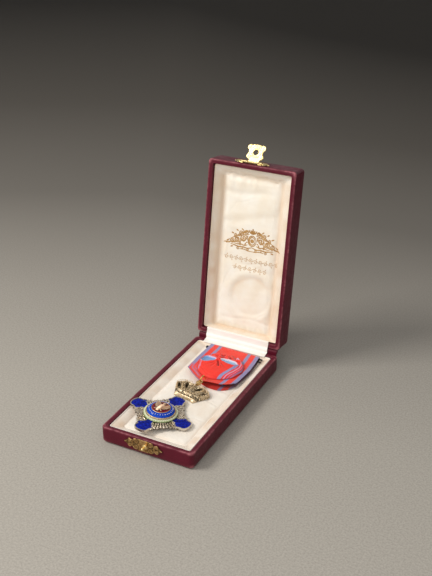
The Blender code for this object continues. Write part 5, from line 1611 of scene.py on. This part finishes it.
# outer side carries the boss, the inner side is chased as well
face = chased(hasp_paths + [ring_path], [], 0.28, 0.30, rim=0.16)
inner = chased(hasp_paths + [ring2], [], 0.07, 0.19, rim=0.03)      # keeps clear of the catch plate when shut
V, F, d = relief(outl, [HOLE], 0.16, face, lambda x, y, d: -inner(x, y, d))
n = len(d)
kd = chased_dirt(V, n, hasp_paths + [ring_path], [], 0.45)
kd[n:] = chased_dirt(V[n:], len(V) - n, hasp_paths + [ring2], [], 0.42)
kn = knuckle(-3.4, 3.4)
# the knuckle's axis runs along local X at the pin
kn = (np.column_stack([kn[0][:, 0], kn[0][:, 1], kn[0][:, 2]]), kn[1])
v, f = merged([(V, F), kn])
put("hasp_chased", v, f, BRASS_LIT, "hasp", "clasp_brass", HASP @ UPRIGHT, ("hasp",), 45,
    {"dirt": np.concatenate([kd, np.full(len(kn[0]), 0.05)])})


# ------------------------------------------------------------------ gilt ornament on the lid's panel
lid_v, lid_f = LID_CLOTH
bvh = BVHTree.FromPolygons([tuple(p) for p in lid_v], [tuple(int(i) for i in q) for q in lid_f if len(q) in (3, 4)])


def panel_z(x, u):
    hit = bvh.ray_cast(Vector((float(x), float(HL - u), 11.5)), Vector((0, 0, 1)))
    return hit[0].z if hit[0] is not None else 17.0


def stroke(path, w0, w1=None, lift=0.05):
    """Thin raised line of gilt lying on the panel along a path of (x, height above the hinge)."""
    p = np.asarray(path, float)
    n = len(p)
    w1 = w0 if w1 is None else w1
    t = np.gradient(p, axis=0)
    t /= np.maximum(np.linalg.norm(t, axis=1, keepdims=True), 1e-9)
    nn = np.column_stack([-t[:, 1], t[:, 0]])
    s = np.linspace(0, 1, n)
    w = (w0 + (w1 - w0) * s) * (0.35 + 0.65 * np.sin(np.clip(s, 0.02, 0.98) * math.pi) ** 0.6) / 2
    V = []
    for i in range(n):
        a, b = p[i] + nn[i] * w[i], p[i] - nn[i] * w[i]
        za, zb = panel_z(*a), panel_z(*b)
        V += [(a[0], HL - a[1], za + 0.1), (a[0], HL - a[1], za - lift), (b[0], HL - b[1], zb - lift), (b[0], HL - b[1], zb + 0.1)]
    return np.array(V), loft_faces(n, 4)


OC = (1.9, 65.0)


def at(p):
    q = np.asarray(p, float)
    return q + np.array(OC)


def petal(cx, cy, ang, ln, w):
    a = math.radians(ang)
    s = np.linspace(0, 1, 12)
    return np.column_stack([cx + ln * s * math.cos(a), cy + ln * s * math.sin(a)]), w


strokes = []
for sx, sy in ((2.7, 3.3), (1.9, 2.4)):
    th = np.linspace(0, 2 * math.pi, 44)
    strokes.append((np.column_stack([sx * np.cos(th), 0.2 + sy * np.sin(th)]), 0.55))
for k in range(8):
    strokes.append(petal(0.0, 0.2, 22.5 + 45 * k, 1.35, 0.62))
half = [
    (spiral(5.9, 1.1, 2.5, 1.9, 200, -1), 0.62), (spiral(10.2, -0.4, 2.0, 1.8, 150, 1), 0.58), (spiral(13.8, -1.8, 1.4, 1.6, 190, -1), 0.5),
    (catmull(((14.8, -3.0), (16.6, -3.4), (18.2, -3.1), (19.6, -3.6)), 8, closed=False), 0.5),
    (catmull(((15.4, -1.0), (16.6, -1.8), (17.4, -2.8)), 8, closed=False), 0.42),
    (spiral(4.0, 5.3, 1.5, 1.6, 250, 1), 0.5), (spiral(8.0, 4.3, 1.25, 1.6, 200, -1), 0.46), (spiral(11.6, 2.4, 0.95, 1.5, 180, 1), 0.4),
    (catmull(((2.2, 4.2), (4.2, 3.7), (6.6, 3.0), (9.2, 2.4), (12.2, 1.0), (15.0, -0.6)), 8, closed=False), 0.5),
    (catmull(((0.0, -4.0), (3.0, -4.9), (6.0, -4.6), (9.0, -4.9), (12.0, -4.4), (14.6, -4.0)), 8, closed=False), 0.6),
    (catmull(((3.0, -2.6), (5.0, -3.4), (7.6, -3.0), (10.0, -3.4), (12.2, -3.3)), 8, closed=False), 0.5),
    (catmull(((0.0, -6.6), (2.4, -6.6), (5.0, -6.0), (8.4, -6.2)), 8, closed=False), 0.45),
    (spiral(9.6, -5.9, 0.8, 1.4, 180, 1), 0.36), (spiral(2.6, -5.6, 0.7, 1.3, 90, -1), 0.36),
]
for cx, cy, ang, ln in ((1.6, 5.0, 60, 2.4), (6.2, 6.0, 40, 1.8), (9.8, 5.2, 30, 1.7), (12.8, 3.0, 20, 1.8), (7.9, -1.8, -60, 1.4),
                        (11.9, -1.9, -50, 1.3), (4.4, -1.6, -80, 1.4), (8.0, 2.6, 60, 1.2), (13.0, -5.2, -20, 1.7), (6.2, -5.2, -60, 1.1),
                        (16.2, -2.2, 10, 1.4), (12.0, 0.6, 70, 1.2), (5.9, 1.1, 0, 0.9), (10.2, -0.4, 90, 0.8), (3.2, -1.0, -20, 1.0)):
    half.append(petal(cx, cy, ang, ln, 0.62))
for k in range(44):                      # small leaves filling the ground between the scrolls
    py = -3.6 + 9.6 * ((k * 0.618034) % 1.0)
    reach = 17.6 * (1 - (py + 3.6) / 13.4) ** 0.8
    px = 3.4 + (reach - 3.4) * ((k * 0.754878 + 0.3) % 1.0)
    half.append(petal(px, py, (k * 137.5) % 360, 0.9 + 0.5 * ((k * 0.37) % 1.0), 0.5))
for p, w in half:
    strokes.append((p, w))
    strokes.append((mirror_path(p), w))
for ang in (30, 60, 90, 120, 150):
    strokes.append(petal(0.0, 4.6, ang, 3.6 if ang == 90 else 2.9, 0.75))
all_v = [stroke(at(p), 1.4 * w) for p, w in strokes]
# two garlands of small curls below
for u0, x0, x1, n, r in ((52.4, -17.0, 20.5, 11, 1.05), (46.6, -10.5, 13.5, 7, 0.95)):
    xs = np.linspace(x0, x1, 90)
    all_v.append(stroke(np.column_stack([xs, u0 + 0.75 * np.sin((xs - x0) / (x1 - x0) * n * math.pi)]), 0.26, 0.26))
    for k in range(n):
        cx = x0 + (x1 - x0) * (k + 0.5) / n
        sgn = 1 if k % 2 == 0 else -1
        all_v.append(stroke(spiral(cx, u0 + sgn * -0.35, r, 1.25, 90 * sgn + 40, -sgn, n=24), 0.3))
        q, w = petal(cx + 0.5, u0 + sgn * 1.15, 60 * sgn, 1.0, 0.4)
        all_v.append(stroke(q, w))
v, f = merged(all_v)
put("lid_ornament", v, f, PRINT, "lid", None, LID, (), 60, {"dirt": np.zeros(len(v))})


# ------------------------------------------------------------------ floor, light, camera
floor_m = Mat("floor_pale", rough=0.85, Specular_IOR_Level=0.08)
sep = floor_m.node("ShaderNodeSeparateXYZ")
floor_m.link(floor_m.scaled(1, 1, 1, (0, 0, math.radians(-26.8))), sep.inputs["Vector"])
right = floor_m.math("MAXIMUM", floor_m.math("ADD", sep.outputs["X"], 0.05), 0.0)
far = floor_m.math("MAXIMUM", floor_m.math("SUBTRACT", sep.outputs["Y"], 0.3), 0.0)
aside = floor_m.math("ADD", floor_m.math("MULTIPLY", right, 0.42), floor_m.math("MULTIPLY", floor_m.math("MULTIPLY", right, far), 1.1))
away = floor_m.math("MULTIPLY", floor_m.math("ADD", floor_m.math("ADD", sep.outputs["Y"], aside), 0.35), 0.6, clamp=True)
# floor's own pale colour near the case, then painted falloff of light to near black towards the back and right
falloff_tone = floor_m.ramp(away, [(0.0, srgb(190, 184, 175)), (0.22, srgb(179, 174, 165)), (0.30, srgb(162, 157, 149)), (0.42, srgb(116, 112, 106)),
                           (0.60, srgb(84, 80, 75)), (1.0, srgb(8, 7, 6))])
grain = floor_m.ramp(floor_m.noise(950, 4, 0.75), [(0.38, 0.0), (0.62, 1.0)])
floor_m.color(floor_m.mix(floor_m.math("MULTIPLY", grain, 0.36), falloff_tone, srgb(112, 107, 100)))
floor_m.normal(floor_m.bump(floor_m.noise(900, 3), 0.00005, 0.2))
bpy.ops.mesh.primitive_plane_add(size=7.0, location=(0, 0, -0.0002))
floor = bpy.context.object
floor.name = "floor"
floor.data.materials.append(floor_m.m)

world = bpy.data.worlds.new("studio")
scene.world = world
world.use_nodes = True
bg = world.node_tree.nodes["Background"]
bg.inputs["Color"].default_value = (1.0, 0.985, 0.965, 1)
bg.inputs["Strength"].default_value = 0.44


def area_light(name, loc, target, size, power, colour=(1, 1, 1), size_y=None):
    li = bpy.data.lights.new(name, "AREA")
    li.energy = power
    li.size = size
    li.color = colour
    if size_y:
        li.shape = "RECTANGLE"
        li.size_y = size_y
    ob = bpy.data.objects.new(name, li)
    scene.collection.objects.link(ob)
    ob.location = loc
    d = Vector(target) - Vector(loc)
    ob.rotation_euler = d.to_track_quat("-Z", "Y").to_euler()
    return ob


area_light("key", (-0.62, -0.42, 0.78), (0, 0, 0.03), 0.35, 7.0, (1.0, 0.97, 0.92))
area_light("fill", (0.1, -0.9, 0.55), (0, 0, 0.05), 0.7, 3.0, (1.0, 0.98, 0.96))

cam_d = bpy.data.cameras.new("camera")
cam_d.lens = 58.365
cam_d.sensor_width = 36.0
cam_d.clip_start = 0.01
cam_d.dof.use_dof = False
cam = bpy.data.objects.new("camera", cam_d)
scene.collection.objects.link(cam)
yaw, pitch, roll = math.radians(-26.836), math.radians(26.986), math.radians(0.127)
fwd = Vector((math.sin(yaw) * math.cos(pitch), math.cos(yaw) * math.cos(pitch), -math.sin(pitch)))
right = Vector((math.cos(yaw), -math.sin(yaw), 0))
up = right.cross(fwd)
r2 = math.cos(roll) * right + math.sin(roll) * up
u2 = -math.sin(roll) * right + math.cos(roll) * up
cam.matrix_world = Matrix.Translation(Vector((221.5, -410.25, 314.8)) * MM) @ Matrix((r2, u2, -fwd)).transposed().to_4x4()
scene.camera = cam
